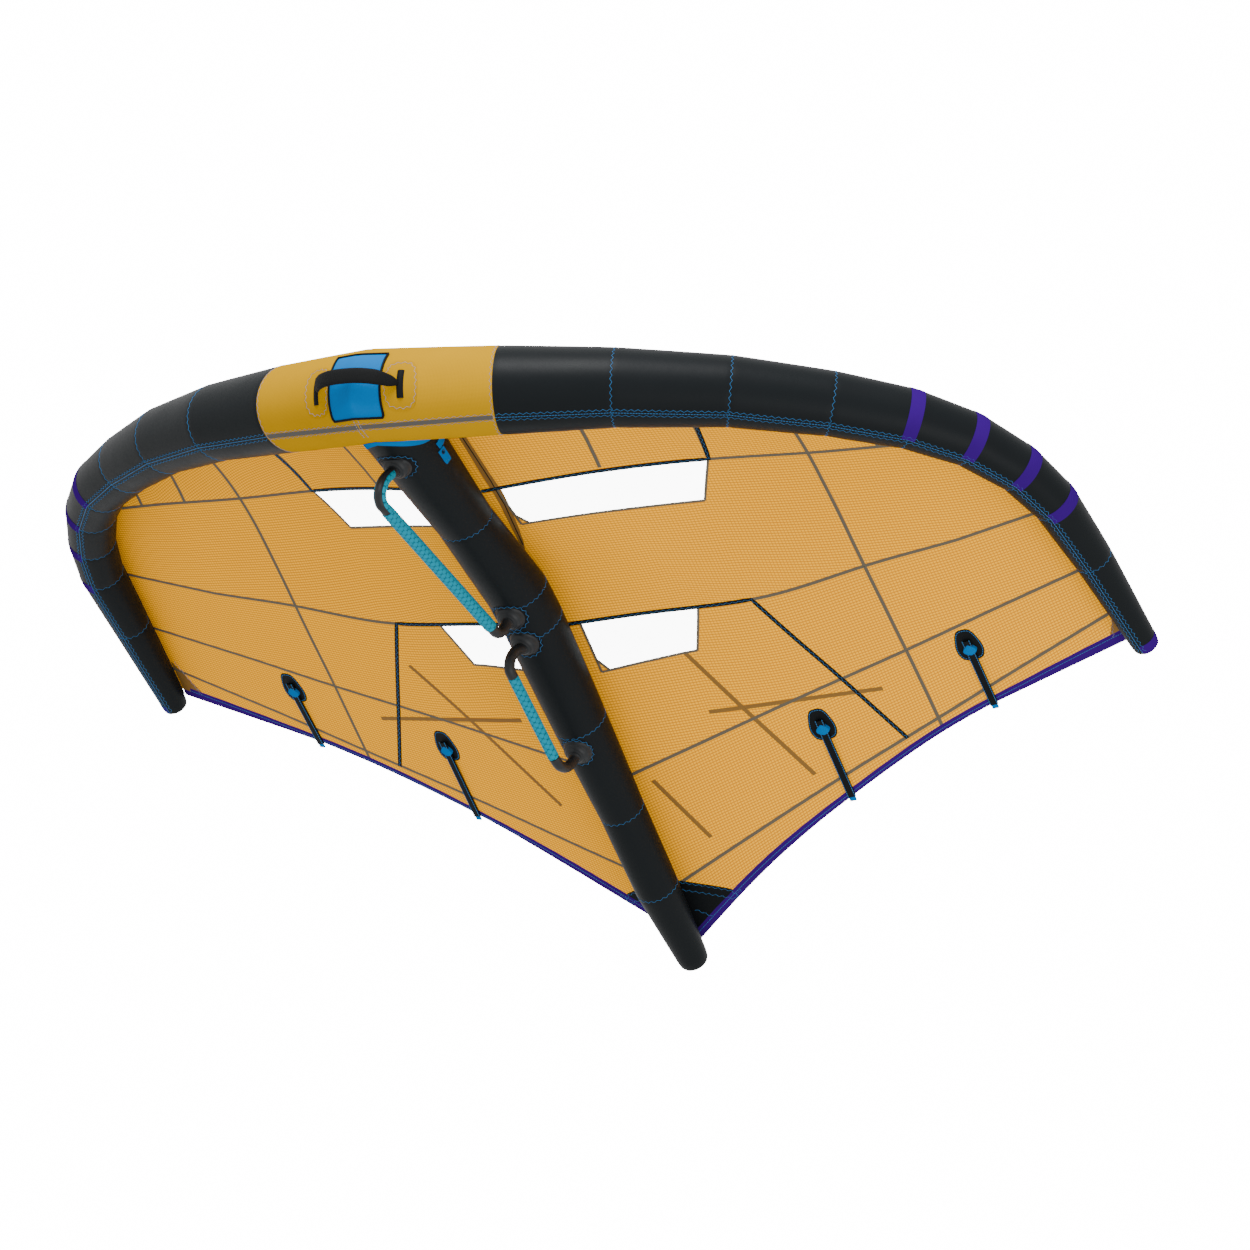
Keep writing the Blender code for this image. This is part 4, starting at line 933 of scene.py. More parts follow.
@lru_cache(maxsize=None)
def finish(name):
    """Each finish is made once, from the panel's colours and sizes."""
    colours = bpy.context.scene.wing_colours
    sizes = bpy.context.scene.wing_sizes
    makers = {
        # Coated polyester sailcloth: a firm satin cloth that shows soft streaks of light
        "tube": lambda: woven_finish("woven_polyester_tube_cloth", tuple(colours.tube), 0.42, sizes.weave),
        # The same cloth dyed yellow, where the weave shows as fine dots
        "centre": lambda: woven_finish(
            "yellow_polyester_tube_cloth", tuple(colours.centre), 0.5, sizes.weave * 1.5, contrast=0.2, gloss=0.0
        ),
        # Light ripstop nylon: matt, with its grid drawn at the photograph's 9 mm
        "canopy": lambda: ripstop_finish(
            "ripstop_canopy_cloth", tuple(colours.canopy), tuple(colours.canopy_thread), sizes.grid
        ),
        # Folded polyester hem: dull purple
        "hem": lambda: woven_finish(
            "purple_polyester_hem", tuple(colours.hem), 0.55, sizes.weave, mapped=False, contrast=0.2, gloss=0.0
        ),
        # Purple seam cloth glued and sewn over the ring seams
        "band": lambda: woven_finish(
            "purple_seam_cloth", tuple(colours.band), 0.5, sizes.weave, mapped=False, contrast=0.16, gloss=0.0
        ),
        # Black insignia cloth and reinforcement: flat black with a fine weave
        "trim": lambda: woven_finish(
            "black_reinforcement_cloth", tuple(colours.trim), 0.55, sizes.weave, mapped=False, contrast=0.3
        ),
        # Round load patches of the centre's yellow cloth
        "centre_patch": lambda: woven_finish(
            "yellow_load_patch_cloth", shade(colours.centre, 0.9), 0.5, sizes.weave, mapped=False, contrast=0.1, gloss=0.0
        ),
        # Seam tape seen through the thin cloth: grey-brown
        "seam": lambda: woven_finish(
            "grey_seam_tape", tuple(colours.seam), 0.6, sizes.weave, mapped=False, contrast=0.12
        ),
        # Bonded tape over the yellow cloth's long seam: dark grey
        "centre_tape": lambda: woven_finish(
            "dark_bonded_seam_tape", linear("4A4744"), 0.55, sizes.weave, mapped=False, contrast=0.15
        ),
        # Doubled canopy cloth: brown, because less light comes through it
        "strip": lambda: woven_finish(
            "brown_doubled_cloth", tuple(colours.strip), 0.6, sizes.weave, mapped=False, contrast=0.15
        ),
        "thread": lambda: thread_finish("blue_polyester_thread", tuple(colours.thread)),
        "slate": lambda: thread_finish("slate_polyester_thread", tuple(colours.slate)),
        # Closed-cell foam grip: soft sheen, moulded grooves with painted shade in them
        "grip": lambda: grip_finish("teal_foam_grip", tuple(colours.grip)),
        # Glass-filled nylon: dark, slightly rough moulding
        "mould": lambda: moulded_finish("dark_moulded_nylon", tuple(colours.mould), 0.45),
        # Nylon webbing: matt black ribs, drawn at 3 mm so that they show
        "webbing": lambda: webbing_finish("black_nylon_webbing", tuple(colours.webbing), 0.003),
        # Knitted face of a foam pad
        "pad": lambda: woven_finish("blue_padded_cloth", tuple(colours.pad), 0.55, 0.003, contrast=0.08, gloss=0.0),
        "collar": lambda: woven_finish(
            "blue_collar_webbing", tuple(colours.pad), 0.6, 0.003, mapped=False, contrast=0.1, gloss=0.0
        ),
        # Clear vinyl film
        "film": lambda: film_finish("clear_vinyl_film", tuple(colours.film)),
        "fibre": lambda: fibre_finish("pultruded_glass_fibre", linear("D9D6C8")),
        # Translucent bladder film and rubber hose, hidden inside the tubes
        "bladder": lambda: moulded_finish("translucent_bladder_film", linear("C9CED1"), 0.3, 60.0),
        "hose": lambda: moulded_finish("grey_hose_rubber", linear("6B6E70"), 0.55, 400.0),
    }
    return makers[name]()


# Leading edge


def interval_places(first, last, length):
    """Places of one stretch: close together beside both seams, where the crease is."""
    near = np.array([0, 0.003, 0.007, 0.013]) / length
    inner = np.linspace(0.02 / length, 1 - 0.02 / length, PANEL_STEPS)
    shares = np.concatenate([near, inner, 1 - near[::-1]])
    return first + shares * (last - first)


def tube_panel(name, places, finish_name):
    places = np.asarray(places)
    angles = np.arange(TUBE_SIDES) * 2 * math.pi / TUBE_SIDES
    outer = tube_surface(places[:, None], angles[None, :])
    inner = tube_surface(places[:, None], angles[None, :], -TUBE_WALL)
    radii = np.interp(np.abs(places), range(len(RING_RADIUS_SHARES)), RING_RADIUS_SHARES) * TUBE_RADIUS
    around = np.repeat(radii * 2 * math.pi, TUBE_SIDES)
    spots = np.stack([
        (radii[:, None] * angles[None, :]).ravel(),
        np.repeat(tip_distance(places), TUBE_SIDES),
    ], axis=-1)
    faces = shell_faces(len(places), TUBE_SIDES, len(places))
    return make_piece(
        f"{name}_cloth", np.vstack([outer.reshape(-1, 3), inner.reshape(-1, 3)]), faces,
        finish(finish_name), replaced=[name], spots=np.vstack([spots, spots]),
        around=np.concatenate([around, around]),
    )


def tip_loops(extra, set_in):
    """Loops round the tube's closed end, as a rounded dome."""
    centres, along, rear, upward, radii, _ = ring_frames()
    loops = []
    for share in (0.25, 0.5, 0.72, 0.88, 0.97):
        turn = share * math.pi / 2
        size = (radii[-1] + extra) * (0.25 + 0.75 * math.cos(turn) ** 0.7)
        centre = centres[-1] + along[-1] * (TIP_DOME * math.sin(turn) - set_in * share)
        loops.append(round_loop(centre, rear[-1], upward[-1], size, TUBE_SIDES))
    return loops


def make_tip(side, side_name):
    lengths = ring_frames()[5]
    places = interval_places(9, 10, lengths[9])
    angles = np.arange(TUBE_SIDES) * 2 * math.pi / TUBE_SIDES
    outer = [*tube_surface(places[:, None], angles[None, :]), *tip_loops(-CREASE_DEPTH, 0)]
    inner = [*tube_surface(places[:, None], angles[None, :], -TUBE_WALL),
             *tip_loops(-CREASE_DEPTH - TUBE_WALL, TUBE_WALL)]
    points = np.vstack(outer + inner)
    if side < 0:
        points = points * MIRROR
    rows = len(outer)
    reach = np.concatenate([tip_distance(places), tip_distance(10) + np.linspace(0.004, 0.03, rows - len(places))])
    radius = RING_RADIUS_SHARES[-1] * TUBE_RADIUS
    spots = np.stack([np.tile(angles * radius, rows), np.repeat(reach, TUBE_SIDES)], axis=-1)
    around = np.full(2 * rows * TUBE_SIDES, radius * 2 * math.pi)
    faces = shell_faces(rows, TUBE_SIDES, rows, end_closed=True)
    make_piece(
        f"le_tip_panel_{side_name}_cloth", points, faces, finish("tube"),
        replaced=[f"le_tip_panel_{side_name}"], spots=np.vstack([spots, spots]), around=around,
    )


def make_leading_edge():
    lengths = ring_frames()[5]
    right = interval_places(0, 1, lengths[0])
    centre = np.concatenate([-right[::-1], right[1:]])
    tube_panel("le_centre_panel", centre, "centre")
    for side, side_name in SIDES:
        for ring in range(1, 5):
            places = interval_places(ring, ring + 1, lengths[ring])
            tube_panel(f"le_panel_{ring}_{side_name}", side * places, "tube")
        curve = [interval_places(ring, ring + 1, lengths[ring])[int(ring > 5):] for ring in range(5, 9)]
        tube_panel(f"le_curve_panel_{side_name}", side * np.concatenate(curve), "tube")
        make_tip(side, side_name)


# Strut


@lru_cache(maxsize=None)
def collar_places():
    """How far forward each side of the strut reaches before it meets the leading edge."""
    tube_places = np.linspace(-1, 1, 201)
    angles = np.arange(TUBE_SIDES) * 2 * math.pi / TUBE_SIDES
    points = tube_surface(tube_places[:, None], angles[None, :])
    quads = []
    for i in range(len(tube_places) - 1):
        quads += ring_faces(i * TUBE_SIDES, (i + 1) * TUBE_SIDES, TUBE_SIDES)
    tree = BVHTree.FromPolygons(points.reshape(-1, 3).tolist(), quads)
    places = strut_stations()[0]
    reach = []
    for angle in angles:
        start = strut_surface(places[1], angle)
        direction = unit(strut_surface(places[0], angle) - start)
        hit, _, _, _ = tree.ray_cast(Vector(start), Vector(direction))
        reach.append(places[0] if hit is None else hit[1])
    return np.array(reach)


def make_strut():
    places = strut_stations()[0]
    angles = np.arange(TUBE_SIDES) * 2 * math.pi / TUBE_SIDES
    panels = (
        ("strut_front_panel", 0, 2), ("strut_grip_panel", 2, 3), ("strut_joint_panel", 3, 4),
        ("strut_middle_panel", 4, 5), ("strut_rear_panel", 5, 7), ("strut_tail_panel", 7, 8),
    )
    for name, first, last in panels:
        stops = [places[first]] + [places[i] for i in range(first + 1, last + 1) if i != 1]
        rows = [interval_places(a, b, b - a) for a, b in zip(stops, stops[1:])]
        rows = np.concatenate([rows[0], *(row[1:] for row in rows[1:])])
        grid = np.repeat(rows[:, None], TUBE_SIDES, axis=1)
        if first == 0:
            share = np.linspace(0, 1, len(rows))[:, None]
            grid = collar_places()[None, :] * (1 - share) + places[last] * share
            close = 1 - 0.003 * np.arange(4)[::-1] / (places[last] - places[0])
            grid[-4:] = collar_places()[None, :] + (places[last] - collar_places()[None, :]) * close[:, None]
        outer = strut_surface(grid, angles[None, :])
        inner = strut_surface(grid, angles[None, :], -TUBE_WALL)
        spots = np.stack([angles[None, :] * STRUT_RADIUS + 0 * grid, grid], axis=-1)
        closed = name == "strut_tail_panel"
        if closed:
            dome, dome_in, reach = tail_dome(angles)
            outer = np.concatenate([outer, dome])
            inner = np.concatenate([inner, dome_in])
            extra = np.stack([np.tile(angles * STRUT_RADIUS, (len(dome), 1)), reach], axis=-1)
            spots = np.concatenate([spots, extra])
        spots = spots.reshape(-1, 2)
        faces = shell_faces(len(outer), TUBE_SIDES, len(inner), end_closed=closed)
        make_piece(
            f"{name}_cloth", np.vstack([outer.reshape(-1, 3), inner.reshape(-1, 3)]), faces,
            finish("tube"), replaced=[name], spots=np.vstack([spots, spots]),
            around=np.full(2 * len(spots), STRUT_RADIUS * 2 * math.pi),
        )


def tail_dome(angles):
    places, heights, radii = strut_stations()
    shares = np.array([0.2, 0.42, 0.62, 0.8, 0.93])
    turns = shares * math.pi / 2
    outer, inner = [], []
    for wall, loops in ((0, outer), (TUBE_WALL, inner)):
        for share, turn in zip(shares, turns):
            size = (radii[-1] - CREASE_DEPTH - wall) * (0.3 + 0.7 * math.cos(turn) ** 0.75)
            place = places[-1] + TAIL_DOME * math.sin(turn) - wall * share
            centre = np.array([0, place, heights[-1]])
            loops.append(round_loop(centre, ACROSS, -UP, size, len(angles)))
    reach = np.repeat((places[-1] + TAIL_DOME * turns)[:, None], len(angles), axis=1)
    return np.array(outer), np.array(inner), reach


# Canopy


def grid_normals(grid):
    along = np.gradient(grid, axis=0)
    across = np.gradient(grid, axis=1)
    return unit(np.cross(across, along))


def thick_sheet(grid, kept, thickness):
    """Points, faces, the grid places used and the flat area of a sheet of the kept cells."""
    normals = grid_normals(grid) * thickness / 2
    rows, wide = grid.shape[:2]
    cells = [(i, j) for i in range(rows - 1) for j in range(wide - 1) if kept(i, j)]
    used = {}
    edges = {}
    area = 0.0
    for i, j in cells:
        corners = [(i, j), (i, j + 1), (i + 1, j + 1), (i + 1, j)]
        for corner in corners:
            used.setdefault(corner, len(used))
        for edge in zip(corners, corners[1:] + corners[:1]):
            edges[edge] = edges.get(edge, 0) + 1
        a, b, c, d = (grid[corner] for corner in corners)
        area += np.linalg.norm(np.cross(c - a, d - b)) / 2
    order = list(used)
    top = np.array([grid[spot] + normals[spot] for spot in order])
    low = np.array([grid[spot] - normals[spot] for spot in order])
    count = len(order)
    faces = []
    for i, j in cells:
        cell = tuple(used[c] for c in ((i, j), (i, j + 1), (i + 1, j + 1), (i + 1, j)))
        faces += [cell, tuple(reversed([n + count for n in cell]))]
    for first, second in edges:
        if (second, first) not in edges:
            a, b = used[first], used[second]
            faces.append((b, a, a + count, b + count))
    return np.vstack([top, low]), faces, order, area


def sheet_size(grid):
    """Longest row and longest column of a sheet."""
    wide = max(np.linalg.norm(np.diff(row, axis=0), axis=1).sum() for row in grid)
    deep = max(np.linalg.norm(np.diff(grid[:, j], axis=0), axis=1).sum() for j in range(grid.shape[1]))
    return wide, deep


def make_sheet(name, grid, kept, thickness, finish_name, side):
    points, faces, order, area = thick_sheet(grid, kept, thickness)
    if side < 0:
        points = points * MIRROR
    depth = np.zeros(grid.shape[:2])
    depth[1:] = np.cumsum(np.linalg.norm(np.diff(grid, axis=0), axis=2), axis=0)
    spots = np.array([(side * grid[spot][0], depth[spot]) for spot in order])
    made = make_piece(
        f"{name}_cloth", points, faces, finish(finish_name), replaced=[name],
        spots=np.vstack([spots, spots]),
    )
    wide, deep = sheet_size(grid)
    return made


def fine_columns(first=0, last=COLUMNS - 1):
    return np.linspace(first, last, (last - first) * COLUMN_STEPS + 1)


def hem_front(columns):
    """The band value at each column where the hem begins."""
    lines = canopy_grid(columns, [BANDS - 1, BANDS])
    return BANDS - HEM_WIDTH / np.linalg.norm(lines[1] - lines[0], axis=1)


def make_canopy():
    names = ("front", "second", "third", "fourth", "trailing")
    columns = fine_columns()
    for row, name in enumerate(names):
        rear = WINDOW_REAR_SHARES[row - 1] if row in (1, 2) else None
        stops = [row, row + 1] if rear is None else [row, rear, row + 1]
        bands = [row]
        for first, last in zip(stops, stops[1:]):
            bands += list(np.linspace(first, last, max(2, round(ROW_STEPS * (last - first))) + 1)[1:])
        bands = np.array(bands, float)
        values = np.repeat(bands[:, None], len(columns), axis=1)
        if row == BANDS - 1:
            values = row + (values - row) * (hem_front(columns) - row)[None, :]
        grid = canopy_grid(columns, values)
        window_end = 0 if rear is None else int(np.argmin(np.abs(bands - rear)))
        last_column = 0 if rear is None else WINDOW_LAST_COLUMNS[row - 1] * COLUMN_STEPS

        def kept(i, j, end=window_end, last=last_column):
            return not (i < end and COLUMN_STEPS <= j < last)

        for side, side_name in SIDES:
            make_sheet(
                f"canopy_{name}_{side_name}", grid, kept, CANOPY_THICKNESS, "canopy", side,
            )
            if rear is not None:
                pane = grid[:window_end + 1, COLUMN_STEPS:last_column + 1]
                window = ("front_window", "rear_window")[row - 1]
                make_sheet(
                    f"{window}_{side_name}", pane, lambda i, j: True, CANOPY_THICKNESS * 0.6, "film",
                    side,
                )
    values = np.stack([hem_front(columns), np.full(len(columns), float(BANDS))])
    hem = canopy_grid(columns, np.linspace(values[0], values[1], 4))
    hem[:, -1] += HEM_END_SHARE * COLUMN_STEPS * (hem[:, -2] - hem[:, -1])
    for side, side_name in SIDES:
        make_sheet(
            f"trailing_hem_{side_name}", hem, lambda i, j: True, HEM_THICKNESS, "hem",
            side,
        )
        turn = 1 if side > 0 else MIRROR
        front = (hem[0] - (0, 0.004, 0))[:-1] * turn
        points, normals = surface_line(canopy_surface, front[:, :2], spacing=0.02)
        made, faces = both_faces_ribbon(points, normals, 0.021, 0.0026)
        make_piece(f"hem_turn_{side_name}", made, faces, finish("hem"))
        stitch("dash", points, normals, 0.0013)
    make_strut_seam()


def make_strut_seam():
    """The narrow strip that joins the canopy to the top of the strut."""
    rows = np.linspace(0.078, 2.030, 170)
    places, heights, radii = strut_stations()
    strut_top = np.interp(rows, places, heights + radii)
    canopy_height = canopy_surface(np.full(len(rows), 0.0005), rows)[:, 2]
    edges = []
    for height in (canopy_height, strut_top - 0.002):
        edges.append(np.stack([
            np.stack([np.full(len(rows), across), rows, height], axis=-1) for across in (-0.0035, 0.0035)
        ], axis=1))
    points, faces = slab(*edges)
    make_piece("strut_seam", points, faces, finish("trim"))


# Trims of the canopy: places are distances from the mirror plane and to the rear


CHORD_SEAM = ((0.8325, 0.415), (0.833, 0.500), (0.834, 0.685), (0.839, 0.875), (0.845, 1.07), (0.8515, 1.29), (0.8575, 1.517))
SHORT_SEAMS = (
    ((0.347, 0.31), (0.325, 0.493)), ((0.606, 0.39), (0.582, 0.547)),
    ((0.996, 0.46), (1.019, 0.604)), ((1.160, 0.55), (1.171, 0.621)),
)
TAPES = (
    ("front_tape", 1, 0.582, ((0.597, 0.470), (0.612, 0.395))),
    ("middle_tape", 2, 0.525, ((0.645, 1.268), (0.760, 1.524))),
)
STRUT_STRIP = (
    (0.205, 0.059, 0.077), (0.30, 0.057, 0.075), (0.42, 0.053, 0.074), (0.49, 0.053, 0.075),
    (0.53, 0.049, 0.070), (0.57, 0.043, 0.063), (0.62, 0.036, 0.054), (0.68, 0.028, 0.040), (0.71, 0.022, 0.029),
)
PLAIN_STROKES = (
    ((1, 0.296, 1.132), (1, 0.491, 1.577)), ((-1, 0.551, 1.150), (-1, 0.249, 1.593)),
    ((1, 0.293, 1.323), (1, 0.751, 1.356)), ((-1, 0.742, 1.354), (-1, 0.256, 1.309)),
    ((1, 0.075, 1.498), (1, 0.160, 1.707)),
)
TAIL_PATCH = ((0.004, 1.815), (0.030, 1.826), (0.156, 1.878), (0.181, 1.905), (0.004, 2.012))
TIP_PATCH = ((1.408, 1.222), (1.421, 1.350), (1.345, 1.362))
TEARDROP = (
    (-0.016, 0.0), (0.016, 0.0), (0.028, 0.024), (0.037, 0.066), (0.026, 0.100), (-0.026, 0.100),
    (-0.037, 0.066), (-0.028, 0.024),
)
TEARDROP_AHEAD = 0.034  # how far the patch reaches in front of its pocket


def canopy_tape(name, path, width, finish_name, side, thickness=0.0024):
    path = np.asarray(path, float) * (side, 1)
    points, normals = surface_line(canopy_surface, path, spacing=0.02)
    made, faces = both_faces_ribbon(points, normals, width, thickness)
    make_piece(name, made, faces, finish(finish_name))
    return points, normals


def make_seams():
    sizes = bpy.context.scene.wing_sizes
    for side, side_name in SIDES:
        for row in range(1, BANDS):
            line = canopy_grid(fine_columns(), [row])[0] * (1 if side > 0 else MIRROR)
            normals = surface_line(canopy_surface, line[:, :2], spacing=9.0)[1]
            made, faces = both_faces_ribbon(line, normals, sizes.seam, 0.0020)
            make_piece(f"cross_seam_{row}_{side_name}", made, faces, finish("seam"))
        for number, path in enumerate((CHORD_SEAM, *SHORT_SEAMS)):
            name = f"chord_seam_{number}_{side_name}"
            canopy_tape(name, path, sizes.seam, "seam", side, 0.0020)
        for name, row, reach, turn in TAPES:
            across = np.linspace(0.03, reach, 14)
            seam = canopy_grid(fine_columns(), [row])[0]
            path = [*zip(across, np.interp(across, seam[:, 0], seam[:, 1])), *turn]
            points, normals = canopy_tape(f"{name}_{side_name}", path, sizes.tape, "trim", side)
            stitch("zigzag", points, normals, 0.0012)
        make_window_frames(side, side_name)
        rows = np.linspace(STRUT_STRIP[0][0], STRUT_STRIP[-1][0], 40)
        place, inner, outer = (np.interp(rows, np.array(STRUT_STRIP)[:, 0], line) for line in np.array(STRUT_STRIP).T)
        reach = inner[:, None] + (outer - inner)[:, None] * np.linspace(0, 1, 6)[None, :]
        place = np.repeat(place[:, None], 6, axis=1)
        made, faces = slab(
            canopy_surface(side * reach, place, -0.0009), canopy_surface(side * reach, place, 0.0009)
        )
        make_piece(f"strut_strip_{side_name}", made, faces, finish("strip"))
        path = np.array(((0.067, 0.215), (0.065, 0.44), (0.060, 0.53), (0.045, 0.62), (0.033, 0.69))) * (side, 1)
        canopy_tape(f"strut_strip_fold_{side_name}", path * (side, 1), 0.003, "trim", side, 0.0024)
        make_corner_patches(side, side_name)
    for number, ((side, *first), (_, *second)) in enumerate(PLAIN_STROKES):
        canopy_tape(f"plain_strip_{number + 1}", (first, second), 0.0130, "strip", side, 0.0018)


def make_window_frames(side, side_name):
    """Grey welded edges round the windows."""
    for row, (window, rear) in enumerate((("front", WINDOW_REAR_SHARES[0]), ("rear", WINDOW_REAR_SHARES[1])), 1):
        last = WINDOW_LAST_COLUMNS[row - 1]
        columns = np.linspace(1, last, 20)
        lines = [
            canopy_grid([1], np.linspace(row, rear, 8))[:, 0],
            canopy_grid(columns, [rear])[0],
            canopy_grid([last], np.linspace(rear, row, 8))[:, 0],
        ]
        for number, line in enumerate(lines):
            line = line * (1 if side > 0 else MIRROR)
            normals = surface_line(canopy_surface, line[:, :2], spacing=9.0)[1]
            made, faces = both_faces_ribbon(line, normals, 0.0068, 0.0021)
            make_piece(
                f"{window}_window_edge_{number}_{side_name}", made, faces, finish("seam")
            )
        make_window_corner(window, row, rear, side, side_name)


def make_window_corner(window, row, rear, side, side_name):
    """The cloth that cuts off the window's inner rear corner."""
    corner = canopy_grid([1], [rear])[0, 0]
    across, along = (0.020, 0.036) if row == 1 else (0.024, 0.040)
    ends = np.array([(corner[0], corner[1] - along), (corner[0] + across, corner[1] + 0.001)])
    corners = [ends[0], ends.mean(axis=0), ends[1], corner[:2] + (across / 2, 0), corner[:2],
               corner[:2] - (0, along / 2)]
    spots = np.array(corners) * (side, 1)
    made, faces = patch(spots, canopy_surface, -0.0006, 0.0006, rounds=2)
    make_piece(
        f"{window}_window_corner_{side_name}", made, faces, finish("canopy"),
        spots=made[:, :2],
    )
    canopy_tape(f"{window}_window_corner_edge_{side_name}", ends, 0.0068, "seam", side, 0.0021)


def make_corner_patches(side, side_name):
    spots = smooth_outline(np.array(TAIL_PATCH) * (side, 1), 0.12)
    made, faces = patch(spots, canopy_surface, -0.0011, 0.0011)
    make_piece(f"tail_patch_{side_name}", made, faces, finish("trim"))
    for shift in (0.004, 0.030):
        path = np.array(((0.01, 1.820), (0.030, 1.828), (0.155, 1.880), (0.172, 1.900)))
        path[:, 1] += shift
        path[-1, 0] -= shift * 0.6
        stitch("zigzag", *surface_line(canopy_surface, path * (side, 1)), 0.0012)
    path = np.array(((0.036, 1.925), (0.075, 1.955))) * (side, 1)
    stitch("zigzag", *surface_line(canopy_surface, path), 0.0012)
    spots = smooth_outline(np.array(TIP_PATCH) * (side, 1), 0.05)
    made, faces = patch(spots, canopy_surface, -0.0009, 0.0009)
    make_piece(f"tip_patch_{side_name}", made, faces, finish("strip"))
    path = np.array(((1.396, 1.225), (1.362, 1.345))) * (side, 1)
    stitch("slate_zigzag", *surface_line(canopy_surface, path), 0.0010)


# Battens in their pockets


def pocket_frame(index):
    """Front end, rear end, sideways direction and downward direction of a pocket's top face."""
    columns = ((5, 6), (9, 10))[index]
    start = BATTEN_FRONT_SHARES[index] * CHORD
    lines = []
    for column in columns:
        points = canopy_grid([column], np.linspace(3, BANDS, 41))[:, 0]
        height = np.interp(start, points[:, 1], points[:, 2])
        front = np.array([points[0, 0], start, height])
        lines.append(np.vstack([front, points[points[:, 1] > start]]))
    front = (lines[0][0] + lines[1][0]) / 2
    rear = (lines[0][-1] + lines[1][-1]) / 2
    along = unit(rear - front)
    side = unit(lines[1][0] - lines[0][0] + lines[1][-1] - lines[0][-1])
    down = unit(np.cross(side, along) * -1)
    side = np.cross(along, down) * -1
    lowest = max(float(np.max((line - front) @ down)) for line in lines)
    drop = lowest + HEM_THICKNESS / 2 + GAP
    return front + drop * down, rear + drop * down, side, down


def pocket_loop(centre, side, down, width, height, crown):
    """A flat section whose underside is slightly crowned and whose corners are eased."""
    shape = (
        (-0.5, 0.15), (-0.46, 0), (0.46, 0), (0.5, 0.15), (0.5, 0.75), (0.44, 0.96), (0.2, 1),
        (-0.2, 1), (-0.44, 0.96), (-0.5, 0.75),
    )
    return np.array([
        centre + side * width * across + down * (height * deep + crown * (deep > 0.8) * (1 - 4 * across**2))
        for across, deep in shape
    ])


def make_battens():
    for index, place in enumerate(("inner", "outer")):
        front, rear, side, down = pocket_frame(index)
        along = unit(rear - front)
        places = [front + (rear - front) * share for share in np.linspace(0, 1, 12)]
        outer = [pocket_loop(spot, side, down, POCKET_WIDTH, POCKET_HEIGHT, 0.0004) for spot in places]
        bore = [front + along * POCKET_WALL, *places[1:]]
        inner = [
            pocket_loop(
                spot + down * POCKET_WALL, side, down, POCKET_WIDTH - 2 * POCKET_WALL,
                POCKET_HEIGHT - 2 * POCKET_WALL, 0,
            ) for spot in bore
        ]
        faces = shell_faces(len(outer), len(outer[0]), len(inner), start_closed=True)
        for sign, side_name in SIDES:
            turn = 1 if sign > 0 else MIRROR
            make_piece(
                f"batten_pocket_{place}_{side_name}_cloth", np.vstack(outer + inner) * turn, faces,
                finish("trim"), replaced=[f"batten_pocket_{place}_{side_name}"],
            )
            for edge in (-0.41, 0.41):
                shift = side * POCKET_WIDTH * edge + down * (POCKET_HEIGHT + 0.0002)
                line = (np.array(places) + shift) * turn
                stitch("dash", line, np.tile(down * turn, (len(line), 1)))
            make_pocket_ends(index, sign, place, side_name)
            keep_node(f"batten_{place}_{side_name}", "fibre")


def make_pocket_ends(index, sign, place, side_name):
    """The teardrop patch with its blue stop at the front, and the blue sleeve on the batten."""
    front, rear, side, down = pocket_frame(index)
    along = unit(rear - front)
    turn = 1 if sign > 0 else MIRROR
    middle = BATTEN_PLACE_SHARES[index] * HALF_SPAN
    start = BATTEN_FRONT_SHARES[index] * CHORD - TEARDROP_AHEAD
    spots = smooth_outline(np.array(TEARDROP) + (middle, start), 0.4, 5) * (sign, 1)
    made, faces = patch(spots, canopy_surface, -0.0001, 0.0012)
    make_piece(f"teardrop_patch_{place}_{side_name}", made, faces, finish("trim"))
    centre = spots.mean(axis=0)
    points, normals = surface_line(canopy_surface, centre + (spots - centre) * 0.90, closed=True, spacing=0.006)
    stitch("dash", points, normals, 0.0014)
    turns = np.linspace(0, 2 * math.pi, 25)[:-1]
    wide = 0.0155 * np.cos(turns) + 0.0025 * np.cos(3 * turns)
    long = 0.0170 * np.sin(turns) + 0.0015 * np.cos(2 * turns)
    blob = front + along * 0.030 + wide[:, None] * side + long[:, None] * along
    loops = [canopy_surface(blob[:, 0], blob[:, 1], 0.0006)]
    middle = blob.mean(axis=0)
    for share, lift in ((1, -0.0015), (0.95, 0.0008), (0.7, 0.0018), (0.3, 0.0022)):
        loops.append(middle + (blob - middle) * share + down * (POCKET_HEIGHT + lift))
    made = np.vstack(loops) * turn
    make_piece(
        f"pocket_stop_{place}_{side_name}", made, solid_faces(len(loops), len(turns)), finish("collar"),
    )
    ends = [rear + along * reach for reach in (0.0004, 0.0016, BATTEN_TAB, BATTEN_TAB + 0.0012)]
    sizes = (0.92, 1, 1, 0.9)
    loops = [
        pocket_loop(end + down * 0.0002, side, down, 0.018 * size, POCKET_HEIGHT * 0.94 * size, 0)
        for end, size in zip(ends, sizes)
    ]
    make_piece(
        f"batten_sleeve_{place}_{side_name}", np.vstack(loops) * turn, solid_faces(len(loops), len(loops[0])),
        finish("collar"), body=f"{place}_batten_{side_name}",
    )


# Handles under the strut


